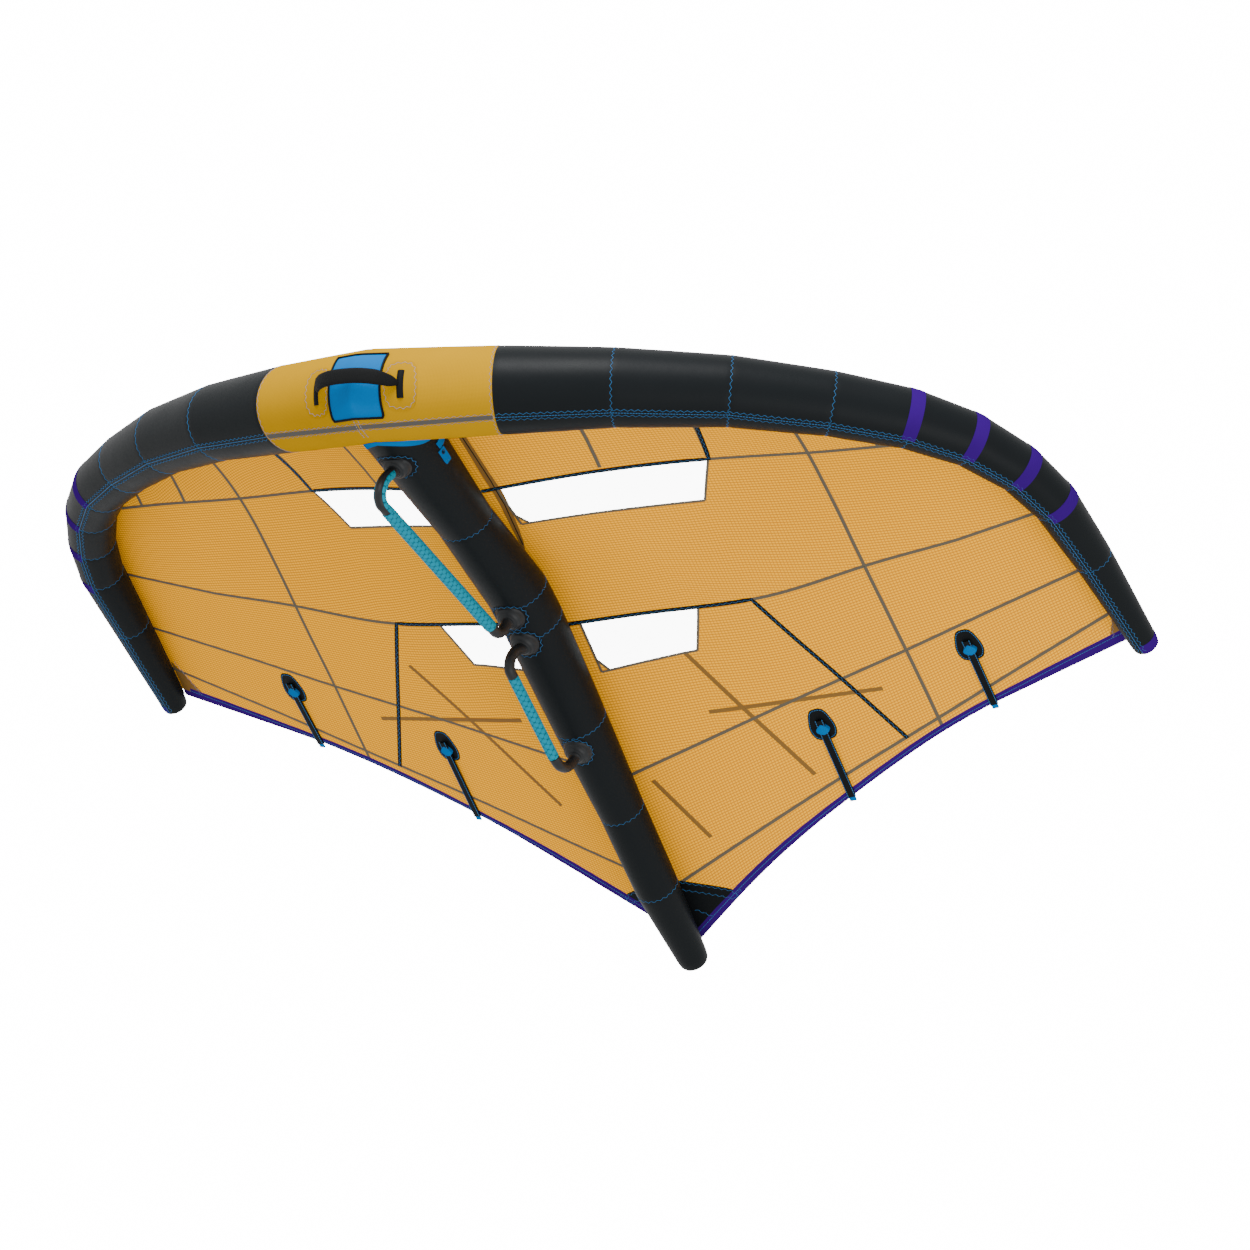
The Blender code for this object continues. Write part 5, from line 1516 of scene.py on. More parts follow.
def make_sockets():
    turns = np.arange(64) * 2 * math.pi / 64
    profile = (
        (0.0165, 0), (0.0195, 0.0002), (0.0208, 0.0012), (0.0250, 0.0036), (0.0262, 0.0037),
        (0.0272, 0.0050), (0.0318, 0.0102), (0.0331, 0.0105), (0.0341, 0.0120), (0.0356, 0.0152),
    )
    for index in range(len(SOCKET_PLACE_SHARES)):
        face = socket_face(index)
        loops = []
        for radius, up in profile:
            loops.append(round_loop(face + UP * up, ACROSS, REARWARDS, radius, len(turns)))
        for radius, lift in ((0.0366, 0.0028), (0.0385, 0.0019), (0.0395, 0.0008), (0.0395, -0.004)):
            spots = round_loop(face, ACROSS, REARWARDS, radius, len(turns))
            spots[:, 2] = strut_height(spots[:, 0], spots[:, 1], lift)
            if radius < 0.0375:
                spots[:, 2] = np.maximum(spots[:, 2], face[2] + 0.0156)
            loops.append(spots)
        made = np.vstack(loops)
        make_piece(
            f"handle_socket_{index + 1}_mould", made, solid_faces(len(loops), len(turns)), finish("mould"),
            replaced=[f"handle_socket_{index + 1}"],
        )
        ring = np.linspace(0, 2 * math.pi, 49)[:-1]
        spots = np.stack([
            face[1] + 0.045 * np.sin(ring) * (1 + 0.08 * np.cos(ring) ** 2),
            math.pi / 2 - 0.052 * np.cos(ring) / STRUT_RADIUS,
        ], axis=-1)
        made, faces = patch(spots, strut_surface, 0.0, TRIM_THICKNESS, rounds=4)
        make_piece(f"socket_patch_{index + 1}", made, faces, finish("trim"))
        middle = spots.mean(axis=0)
        points, normals = surface_line(strut_surface, middle + (spots - middle) * 0.93, closed=True, spacing=0.006)
        stitch("zigzag", points, normals, TRIM_THICKNESS)


def strut_height(across, place, lift):
    """Height of the strut's underside, lowered by a lift."""
    places, heights, radii = strut_stations()
    radius = np.interp(place, places, radii) + lift
    return np.interp(place, places, heights) - np.sqrt(radius**2 - across**2)


def make_strut_handle(name, shares, sockets, drop, grip_radius, sides=32, steps=8):
    points = handle_points(shares, sockets, drop)
    front = rounded(points[:GRIP_START + 1], steps)
    rear = rounded(points[GRIP_START + 1:], steps)
    along = unit(rear[0] - front[-1])
    upward = np.cross(along, ACROSS)
    path = np.vstack([front, front[-1] + along * GAP, rear[0] - along * GAP, rear])
    ends = np.full(len(front), HANDLE_END_RADIUS)
    ends[:3] += (0.0022, 0.0012, 0.0004)
    rear_ends = np.full(len(rear), HANDLE_END_RADIUS)
    rear_ends[-3:] += (0.0004, 0.0012, 0.0022)
    radii = np.concatenate([ends, [HANDLE_BAR_RADIUS] * 2, rear_ends])
    loops = []
    for i, (point, radius) in enumerate(zip(path, radii)):
        direction = unit(path[min(i + 1, len(path) - 1)] - path[max(i - 1, 0)])
        square = upward if len(front) - 1 <= i <= len(front) + 2 else np.cross(direction, ACROSS)
        loops.append(round_loop(point, ACROSS, square, radius, sides))
    loops[0] = round_loop(path[0], ACROSS, -REARWARDS, radii[0], sides)
    loops[-1] = round_loop(path[-1], ACROSS, REARWARDS, radii[-1], sides)
    make_piece(
        f"{name}_handle_frame_mould", np.vstack(loops), solid_faces(len(loops), sides), finish("mould"),
        replaced=[f"{name}_handle_frame"],
    )
    start, end = front[-1] + along * 2 * GAP, rear[0] - along * 2 * GAP
    length = np.linalg.norm(end - start)
    reach = np.concatenate([[0, 0.001, 0.003], np.linspace(0.006, length - 0.006, 40), length - np.array([0.003, 0.001, 0])])
    sizes = np.full(len(reach), grip_radius)
    sizes[:3] -= (0.0022, 0.0009, 0.0002)
    sizes[-3:] -= (0.0002, 0.0009, 0.0022)
    outer = [round_loop(start + along * r, ACROSS, upward, size, sides) for r, size in zip(reach, sizes)]
    inner = [round_loop(start + along * r, ACROSS, upward, HANDLE_BAR_RADIUS + GAP, sides) for r in reach]
    turns = np.arange(sides) * 2 * math.pi / sides
    spots = np.stack([np.tile(turns * grip_radius, len(reach)), np.repeat(reach, sides)], axis=-1)
    make_piece(
        f"{name}_handle_grip_foam", np.vstack(outer + inner), shell_faces(len(outer), sides, len(inner)),
        finish("grip"), replaced=[f"{name}_handle_grip"], spots=np.vstack([spots, spots]),
        around=np.full(2 * len(spots), grip_radius * 2 * math.pi),
    )
    if name == "front":
        make_bend_inlay(front[3:])


def make_bend_inlay(path):
    """The teal inlay along the inside of the front bend, which runs into the grip."""
    angles = np.radians(np.linspace(-124, 124, 25))
    top, low = [], []
    for i, point in enumerate(path):
        direction = unit(path[min(i + 1, len(path) - 1)] - path[max(i - 1, 0)])
        inward = np.cross(ACROSS, direction)
        turn = np.cos(angles)[:, None] * inward + np.sin(angles)[:, None] * ACROSS
        proud = 0.0016 * min(1, i / 3) + 0.0003
        edge = (np.abs(angles) < 2.1)[:, None] * proud
        top.append(point + turn * (HANDLE_END_RADIUS + edge))
        low.append(point + turn * (HANDLE_END_RADIUS - 0.002))
    points, faces = slab(np.array(top), np.array(low))
    reach = np.concatenate([[0], np.cumsum(np.linalg.norm(np.diff(path, axis=0), axis=1))])
    spots = np.stack([np.tile(angles * HANDLE_END_RADIUS, len(path)), np.repeat(reach, len(angles))], axis=-1)
    make_piece(
        "front_bend_inlay", points, faces, finish("grip"), spots=np.vstack([spots, spots])
    )


# Handle, pad and patches on the leading edge's centre


CENTRE_STRETCH = RING_SPAN_SHARES[1] * HALF_SPAN


def strap_axis():
    share = STRAP_HALF_LENGTH / CENTRE_STRETCH
    centre = ring_frames()[0][1] * share
    radius = TUBE_RADIUS * (1 - share + share * RING_RADIUS_SHARES[1])
    outward = np.array([0, math.cos(STRAP_ANGLE), math.sin(STRAP_ANGLE)])
    end = centre + outward * (radius + STRAP_SIZE_SHARES[0] * STRAP_HALF_THICKNESS + STRAP_SEAT)
    return np.array([0, end[1], end[2]]), outward


def make_strap(sides=24, steps=8):
    axis, outward = strap_axis()
    raised = np.cross(outward, ACROSS)
    if raised[2] < 0:
        raised = -raised
    crown = outward * (TUBE_RADIUS + STRAP_STAND_OFF) + raised * STRAP_LIFT - axis
    right = [axis + crown * bulge + ACROSS * along * STRAP_HALF_LENGTH for along, bulge in STRAP_SHARES]
    points = [point * MIRROR for point in right] + right[-2::-1]
    path = rounded(points, steps)
    sizes = [*STRAP_SIZE_SHARES, *STRAP_SIZE_SHARES[-2::-1]]
    widths = [*STRAP_WIDTH_SHARES, *STRAP_WIDTH_SHARES[-2::-1]]
    loops, spots = [], []
    turns = np.arange(sides) * 2 * math.pi / sides
    reach = np.concatenate([[0], np.cumsum(np.linalg.norm(np.diff(path, axis=0), axis=1))])
    for i, point in enumerate(path):
        along = unit(path[min(i + 1, len(path) - 1)] - path[max(i - 1, 0)])
        thick = unit(outward - (outward @ along) * along)
        size = np.interp(i / steps, range(len(sizes)), sizes)
        share = np.interp(i / steps, range(len(sizes)), widths)
        wide = np.sign(np.sin(turns)) * np.abs(np.sin(turns)) ** 0.75 * STRAP_HALF_WIDTH * share
        deep = np.sign(np.cos(turns)) * np.abs(np.cos(turns)) ** 0.85 * STRAP_HALF_THICKNESS * size
        loops.append(point + deep[:, None] * thick + wide[:, None] * np.cross(along, thick))
        spots += [(w, reach[i]) for w in wide]
    made = make_piece(
        "le_handle_strap_webbing", np.vstack(loops), solid_faces(len(loops), sides), finish("webbing"),
        body="strap", replaced=["le_handle_strap"], spots=spots,
    )


def centre_spots(spots):
    """Places on the centre panel, from distances along the span in metres and turns in degrees."""
    spots = np.asarray(spots, float)
    return np.stack([spots[:, 0] / CENTRE_STRETCH, np.radians(spots[:, 1])], axis=-1)


def make_load_patches():
    corners = ((0.083, -176), (0.132, -176), (0.145, -158), (0.145, -126), (0.132, -110), (0.083, -110),
               (0.070, -126), (0.070, -158))
    for side, side_name in SIDES:
        spots = smooth_outline(centre_spots(corners) * (side, 1), 0.45, 5)
        made, faces = patch(spots, tube_surface, 0.0, TRIM_THICKNESS, rounds=5)
        make_piece(f"load_patch_{side_name}", made, faces, finish("centre_patch"))
        middle = spots.mean(axis=0)
        line = surface_line(tube_surface, middle + (spots - middle) * 0.90, closed=True, spacing=0.008)
        stitch("slate_zigzag", *line, TRIM_THICKNESS)
        places = np.linspace(0.1005, 0.1155, 5) * side / CENTRE_STRETCH
        angles = np.radians(np.linspace(-161, -126, 15))
        lifts = np.array([0.0010, 0.0038, 0.0044, 0.0038, 0.0010])
        top = tube_surface(places[None, :], angles[:, None], lifts[None, :])
        low = tube_surface(places[None, :], angles[:, None], 0.0004)
        made, faces = slab(top, low)
        make_piece(f"strap_anchor_{side_name}", made, faces, finish("trim"))


def pad_width(share):
    """Half width of the pad from its top edge to its bottom edge, whose corners are rounded."""
    return 0.0668 - 0.0015 * math.sin(math.pi * share) - 0.004 * (max(0.0, share - 0.93) / 0.07) ** 2


def make_pad():
    shares = np.linspace(0, 1, 26)
    angles = np.radians(170 + 88 * shares)
    widths = np.array([pad_width(share) for share in shares])
    lines = np.linspace(-1, 1, 25)
    places = widths[:, None] * lines[None, :] / CENTRE_STRETCH
    edge = (1 - np.abs(lines[None, :]) ** 8) * (1 - np.abs(2 * shares[:, None] - 1) ** 10)
    top = tube_surface(places, angles[:, None], GAP + 0.0012 + (PAD_THICKNESS - 0.0008) * edge)
    low = tube_surface(places, angles[:, None], GAP)
    points, faces = slab(top, low)
    spots = np.stack([widths[:, None] * lines[None, :], np.repeat(shares[:, None] * 0.176, 25, axis=1)], axis=-1)
    spots = spots.reshape(-1, 2)
    pad = make_piece(
        "le_handle_pad_cloth", points, faces, finish("pad"), replaced=["le_handle_pad"],
        spots=np.vstack([spots, spots]),
    )
    outline = [(side * widths[i] / CENTRE_STRETCH, angles[i]) for side, order in
               ((-1, range(len(shares))), (1, reversed(range(len(shares))))) for i in order]
    points, normals = surface_line(tube_surface, outline, closed=True, spacing=0.006)
    made, faces = swept_ring(points[:-1] + normals[:-1] * 0.0026, normals[:-1], 0.0030)
    make_piece("pad_binding", made, faces, finish("trim"))


# Bands, collar, tab and stitches of the tubes


BAND_ANGLES = (math.radians(72), math.radians(266))
TRIPLE_ANGLE = math.radians(-94)


def make_bands():
    width = bpy.context.scene.wing_sizes.band
    lengths = ring_frames()[5]
    angles = np.linspace(*BAND_ANGLES, 49)
    for side, side_name in SIDES:
        for ring in range(5, 9):
            places = [ring - width / 2 / lengths[ring - 1], ring, ring + width / 2 / lengths[ring]]
            places = np.array([places[0], (places[0] + ring) / 2, ring, (places[2] + ring) / 2, places[2]])
            top = tube_surface(side * places[None, :], angles[:, None], TRIM_THICKNESS)
            low = tube_surface(side * places[None, :], angles[:, None], 0.0)
            made, faces = slab(top, low)
            make_piece(f"seam_band_{ring}_{side_name}", made, faces, finish("band"))
        start = 10 - 0.026 / lengths[9]
        rows = np.linspace(start, 10, 4)
        top = [tube_surface(rows[None, :], angles[:, None], 0.0006)]
        low = [tube_surface(rows[None, :], angles[:, None], 0.0)]
        centres, along, rear, upward, radii, _ = ring_frames()
        for share in (0.25, 0.5, 0.72, 0.88):
            turn = share * math.pi / 2
            size = (radii[-1] - CREASE_DEPTH) * (0.25 + 0.75 * math.cos(turn) ** 0.7)
            around = np.cos(angles)[:, None] * rear[-1] + np.sin(angles)[:, None] * upward[-1]
            for grid, lift in ((top, 0.0006), (low, 0.0)):
                centre = centres[-1] + along[-1] * (TIP_DOME * math.sin(turn) + lift)
                grid.append((centre + around * (size + lift))[:, None])
        made, faces = slab(np.concatenate(top, axis=1), np.concatenate(low, axis=1))
        turn = 1 if side > 0 else MIRROR
        make_piece(f"tip_band_{side_name}", made * turn, faces, finish("band"))


def make_collar():
    angles = np.arange(TUBE_SIDES) * 2 * math.pi / TUBE_SIDES
    shown = (angles > math.radians(-1)) & (angles < math.radians(181))
    angles, front = angles[shown], collar_places()[shown]
    rows = np.linspace(0.0005, 1, 5)[:, None] * (0.0125 + 0.012 * np.abs(np.cos(angles)))[None, :]
    grid = front[None, :] + rows
    top = strut_surface(grid, angles[None, :], TRIM_THICKNESS)
    made, faces = slab(top, strut_surface(grid, angles[None, :], 0.0))
    make_piece("strut_collar", made, faces, finish("collar"))


def make_tab():
    start = strut_stations()[0][1] + TAB_SET_BACK
    sides = 2 * math.pi / 24
    corners = []
    for place in (start, start + TAB_LENGTH):
        places, heights, radii = strut_stations()
        radius = np.interp(place, places, radii)
        height = np.interp(place, places, heights)
        corners.append([np.array([radius * math.cos(a), place, height - radius * math.sin(a)]) for a in (0, sides)])
    near, far = (np.mean(corner, axis=0) for corner in corners)
    along = unit(far - near)
    side = unit(corners[0][1] - corners[0][0])
    outward = np.cross(side, along)
    base = near + outward * GAP
    eye = base + along * TAB_WIDTH / 2
    turns = np.arange(48) * 2 * math.pi / 48
    loops = []
    for lift, radius, share in ((0.0, TAB_HOLE_RADIUS, 0), (TAB_THICKNESS, TAB_HOLE_RADIUS, 0),
                                (TAB_THICKNESS, 0, 0.97), (TAB_THICKNESS * 0.8, 0, 1), (0.0, 0, 1)):
        loop = []
        for turn in turns:
            direction = np.array([math.cos(turn), math.sin(turn)])
            reach = radius
            if share:
                ahead = TAB_LENGTH - TAB_WIDTH / 2 if direction[0] > 0 else TAB_WIDTH / 2
                reach = min(ahead / max(abs(direction[0]), 1e-6), TAB_WIDTH / 2 / max(abs(direction[1]), 1e-6))
                reach *= share
            loop.append(eye + along * direction[0] * reach + side * direction[1] * reach + outward * lift)
        loops.append(np.array(loop))
    faces = []
    for i in range(len(loops)):
        faces += ring_faces(i * 48, (i + 1) % len(loops) * 48, 48)
    make_piece(
        "leash_tab_webbing", np.vstack(loops), faces, finish("collar"), replaced=["leash_tab"]
    )
    ring = round_loop(eye + outward * TAB_THICKNESS, along, side, TAB_HOLE_RADIUS + 0.0016, 32)
    made, faces = swept_ring(ring, np.tile(outward, (32, 1)), 0.0011)
    make_piece("leash_tab_eyelet", made, faces, finish("mould"))
    line = np.array([base + along * TAB_LENGTH * 0.8 + side * TAB_WIDTH * s for s in np.linspace(-0.4, 0.4, 6)])
    stitch("zigzag", line, np.tile(outward, (len(line), 1)), TAB_THICKNESS)
    angles = np.radians(np.linspace(-22, 9, 10))
    reach = np.linspace(start - 0.024, start - 0.003, 4)
    top = strut_surface(reach[None, :], angles[:, None], 0.0022)
    made, faces = slab(top, strut_surface(reach[None, :], angles[:, None], 0.0))
    make_piece("leash_tab_root", made, faces, finish("collar"))


def centre_tape_angle(places):
    """The tape dips a little toward the strut at the wing's middle."""
    return TRIPLE_ANGLE + math.radians(5.5) * np.maximum(0, 1 - np.abs(places) / 0.9)


def make_tube_stitches():
    """Ring seams, the triple row under the leading edge, the canopy's seam and the strut's rings."""
    full = np.linspace(0, 2 * math.pi, 121)
    lengths = ring_frames()[5]
    for side, _ in SIDES:
        for ring in range(1, 10):
            kind = "slate_zigzag" if ring == 1 else "zigzag"
            shift = -0.004 if ring == 1 else 0.0
            place = side * (ring + shift / lengths[0])
            shown = np.linspace(BAND_ANGLES[1], BAND_ANGLES[0] + 2 * math.pi, 81) if 4 < ring < 9 else full
            stitch(kind, *surface_line(tube_surface, np.stack([0 * shown + place, shown], axis=-1)), 0.0004)
        for offset, kind in ((-0.0085, "zigzag"), (0.0, "dash"), (0.0085, "zigzag")):
            places = np.linspace(1.01, 9.98, 240)
            radii = np.interp(places, range(len(RING_RADIUS_SHARES)), RING_RADIUS_SHARES) * TUBE_RADIUS
            path = np.stack([side * places, TRIPLE_ANGLE + offset / radii], axis=-1)
            stitch(kind, *surface_line(tube_surface, path, spacing=0.02), 0.0004)
        places = np.linspace(0, 0.985, 40)
        for offset in (-0.0098, 0.0098):
            path = np.stack([side * places, centre_tape_angle(places) + offset / TUBE_RADIUS], axis=-1)
            stitch("slate_zigzag", *surface_line(tube_surface, path, spacing=0.02), 0.0004)
        path = np.stack([side * np.linspace(0.05, 9.9, 240), np.full(240, SEAM_ANGLE + 0.12)], axis=-1)
        stitch("dash", *surface_line(tube_surface, path, spacing=0.02), 0.0022)
    places = strut_stations()[0]
    for place in places[2:8]:
        line = surface_line(strut_surface, np.stack([0 * full + place, full], axis=-1))
        stitch("zigzag", *line, 0.0004)
    for shift in (-0.006, 0.006):
        path = np.stack([np.full(20, shift / lengths[0]), np.radians(np.linspace(-101, -70, 20))], axis=-1)
        stitch("slate_dash", *surface_line(tube_surface, path), 0.0004)
    places = np.linspace(-0.985, 0.985, 60)
    angles = centre_tape_angle(places)[:, None] + np.array([-0.0065, -0.004, 0.004, 0.0065])[None, :] / TUBE_RADIUS
    made, faces = slab(
        tube_surface(places[:, None], angles, 0.0005), tube_surface(places[:, None], angles, -0.0002)
    )
    make_piece("centre_seam_tape", made, faces, finish("centre_tape"))
    for side, side_name in SIDES:
        places = side * np.linspace(0.02, 9.95, 260)
        radii = np.interp(np.abs(places), range(len(RING_RADIUS_SHARES)), RING_RADIUS_SHARES) * TUBE_RADIUS
        angles = SEAM_ANGLE + np.array([-0.010, -0.004, 0.012, 0.018])[None, :] / radii[:, None]
        lifts = np.array([0.0026, 0.0027, 0.0016, 0.0004])
        top = tube_surface(places[:, None], angles, lifts[None, :])
        made, faces = slab(top, tube_surface(places[:, None], angles, 0.0001))
        make_piece(f"canopy_seam_cover_{side_name}", made, faces, finish("trim"))


# Valve


def valve_frame():
    """The seat as the CAD has it, on a flat side of the tube, and its directions."""
    angle = np.arange(24) * 2 * math.pi / 24
    loop = tube_surface(np.full(24, VALVE_SPAN_SHARE), angle, inflated=False)
    seat = loop[0]
    outward = unit(seat - loop.mean(axis=0))
    ends = tube_surface(np.array([0.0, 1.0]), np.zeros(2), inflated=False)
    toward_tip = unit(ends[1] - ends[0])
    outward = unit(outward - (outward @ toward_tip) * toward_tip)
    return seat, outward, toward_tip


def make_valve(sides=48):
    seat, outward, toward_tip = valve_frame()
    other = np.cross(outward, toward_tip)
    outer = (
        (0.0224, -0.0045), (0.0222, 0.0016), (0.0214, 0.0028), (0.0165, 0.0031), (0.0150, 0.0036),
        (0.0136, 0.0052), (0.0130, 0.0060), (0.0130, 0.0112), (0.0124, VALVE_COLLAR_HEIGHT),
        (VALVE_BORE_RADIUS + 0.0006, VALVE_COLLAR_HEIGHT), (VALVE_BORE_RADIUS, VALVE_COLLAR_HEIGHT - 0.0006),
        (VALVE_BORE_RADIUS, -0.0045),
    )
    loops = [round_loop(seat + outward * up, toward_tip, other, radius, sides) for radius, up in outer]
    faces = []
    for i in range(len(loops)):
        faces += ring_faces(i * sides, (i + 1) % len(loops) * sides, sides)
    make_piece("valve_body_mould", np.vstack(loops), faces, finish("mould"),
               replaced=["valve_body"])
    low = VALVE_COLLAR_HEIGHT + GAP
    centre = seat + outward * low
    half = CAP_EAR_WIDTH / 2
    reach = VALVE_COLLAR_RADIUS + CAP_EAR_LENGTH
    start = math.asin(half / VALVE_COLLAR_RADIUS)
    turns = np.linspace(start, 2 * math.pi - start, sides)
    rim = [VALVE_COLLAR_RADIUS * (toward_tip * math.cos(a) + other * math.sin(a)) for a in turns]
    outline = np.array([*rim, toward_tip * reach - other * half, toward_tip * reach + other * half])
    middle = outline.mean(axis=0)
    loops = []
    for share, up in ((0.94, 0), (1, 0.0006), (1, CAP_THICKNESS - 0.0010), (0.93, CAP_THICKNESS),
                      (0.62, CAP_THICKNESS), (0.58, CAP_THICKNESS - 0.0007), (0.2, CAP_THICKNESS - 0.0007)):
        loops.append(centre + middle + (outline - middle) * share + outward * up)
    make_piece("valve_cap_mould", np.vstack(loops), solid_faces(len(loops), len(outline)), finish("mould"),
               body="cap", replaced=["valve_cap"])


# Stitches by Geometry Nodes


def node_tree(name, sizes):
    """A new tree with a geometry and named sizes going in, and a geometry coming out."""
    tree = bpy.data.node_groups.new(name, "GeometryNodeTree")
    tree.interface.new_socket("Geometry", in_out="INPUT", socket_type="NodeSocketGeometry")
    for size in sizes:
        tree.interface.new_socket(size, in_out="INPUT", socket_type="NodeSocketFloat")
    tree.interface.new_socket("Thread", in_out="INPUT", socket_type="NodeSocketMaterial")
    tree.interface.new_socket("Geometry", in_out="OUTPUT", socket_type="NodeSocketGeometry")
    return tree, add(tree, "NodeGroupInput"), add(tree, "NodeGroupOutput")


def end_tree(tree, start, end, geometry):
    """Realize Instances and Set Material, as the export needs them."""
    real = add(tree, "GeometryNodeRealizeInstances", {0: geometry}).outputs[0]
    done = add(tree, "GeometryNodeSetMaterial", {"Geometry": real, "Material": start.outputs["Thread"]})
    tree.links.new(done.outputs[0], end.inputs[0])
    return tree


@lru_cache(maxsize=None)
def zigzag_tree():
    tree, start, end = node_tree("zigzag row", ("Step", "Swing", "Radius"))
    curve = add(tree, "GeometryNodeMeshToCurve", {0: start.outputs["Geometry"]}).outputs[0]
    even = add(
        tree, "GeometryNodeResampleCurve", {"Curve": curve, "Length": start.outputs["Step"]}, mode="LENGTH"
    ).outputs[0]
    normal = add(tree, "GeometryNodeInputNamedAttribute", {"Name": "cloth_normal"}, data_type="FLOAT_VECTOR")
    tangent = add(tree, "GeometryNodeInputTangent").outputs[0]
    side = add(
        tree, "ShaderNodeVectorMath", {0: normal.outputs[0], 1: tangent}, operation="CROSS_PRODUCT"
    ).outputs[0]
    side = add(tree, "ShaderNodeVectorMath", {0: side}, operation="NORMALIZE").outputs[0]
    index = add(tree, "GeometryNodeInputIndex").outputs[0]
    turn = calculate(tree, "SUBTRACT", calculate(tree, "MODULO", index, 2.0), 0.5)
    reach = calculate(tree, "MULTIPLY", turn, start.outputs["Swing"])
    offset = add(tree, "ShaderNodeVectorMath", {0: side, "Scale": reach}, operation="SCALE").outputs[0]
    moved = add(tree, "GeometryNodeSetPosition", {"Geometry": even, "Offset": offset}).outputs[0]
    section = add(
        tree, "GeometryNodeCurvePrimitiveCircle", {"Resolution": 4, "Radius": start.outputs["Radius"]}
    ).outputs[0]
    thread = add(
        tree, "GeometryNodeCurveToMesh", {"Curve": moved, "Profile Curve": section, "Fill Caps": True}
    ).outputs[0]
    return end_tree(tree, start, end, thread)


@lru_cache(maxsize=None)
def dash_tree():
    tree, start, end = node_tree("straight stitches", ("Step", "Swing", "Radius"))
    curve = add(tree, "GeometryNodeMeshToCurve", {0: start.outputs["Geometry"]}).outputs[0]
    even = add(
        tree, "GeometryNodeResampleCurve", {"Curve": curve, "Length": start.outputs["Step"]}, mode="LENGTH"
    ).outputs[0]
    one = add(
        tree, "GeometryNodeMeshCylinder",
        {"Vertices": 6, "Radius": start.outputs["Radius"], "Depth": start.outputs["Swing"]},
    ).outputs[0]
    tangent = add(tree, "GeometryNodeInputTangent").outputs[0]
    turn = add(tree, "FunctionNodeAlignRotationToVector", {"Vector": tangent}, axis="Z").outputs[0]
    placed = add(
        tree, "GeometryNodeInstanceOnPoints", {"Points": even, "Instance": one, "Rotation": turn}
    ).outputs[0]
    return end_tree(tree, start, end, placed)


def make_stitch_lines(name, lines, tree, step, swing, radius, finish_name):
    """One plain mesh of stitches along many lines, made by a node tree."""
    points = np.vstack([line[0] for line in lines])
    normals = np.vstack([line[1] for line in lines])
    edges = []
    first = 0
    for line, _ in lines:
        edges += [(first + i, first + i + 1) for i in range(len(line) - 1)]
        first += len(line)
    mesh = bpy.data.meshes.new(f"{name}_lines")
    mesh.from_pydata(points.tolist(), edges, [])
    attribute = mesh.attributes.new("cloth_normal", "FLOAT_VECTOR", "POINT")
    attribute.data.foreach_set("vector", normals.ravel())
    guide = bpy.data.objects.new(f"{name}_lines", mesh)
    bpy.context.scene.collection.objects.link(guide)
    modifier = guide.modifiers.new("Stitches", "NODES")
    modifier.node_group = tree
    values = {"Step": step, "Swing": swing, "Radius": radius, "Thread": finish(finish_name)}
    for socket in tree.interface.items_tree:
        if socket.in_out == "INPUT" and socket.name in values:
            modifier[socket.identifier] = values[socket.name]
    bpy.context.view_layer.update()
    made = bpy.data.meshes.new_from_object(guide.evaluated_get(bpy.context.evaluated_depsgraph_get()))
    if not made.polygons:
        raise RuntimeError(f"{name} has no stitches")
    bpy.data.objects.remove(guide)
    made.name = name
    piece = bpy.data.objects.new(name, made)
    bpy.context.scene.collection.objects.link(piece)
    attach(piece, "wing")


def make_stitches():
    sizes = bpy.context.scene.wing_sizes
    for name, kind, finish_name in (
        ("blue_zigzag_rows", "zigzag", "thread"), ("slate_zigzag_rows", "slate_zigzag", "slate")
    ):
        make_stitch_lines(
            name, STITCHES[kind], zigzag_tree(), sizes.half_period, sizes.swing, sizes.thread, finish_name
        )
    for name, kind, finish_name in (("blue_stitches", "dash", "thread"), ("slate_stitches", "slate_dash", "slate")):
        make_stitch_lines(
            name, STITCHES[kind], dash_tree(), sizes.dash * 1.4, sizes.dash, sizes.thread * 1.4, finish_name
        )


# Stage


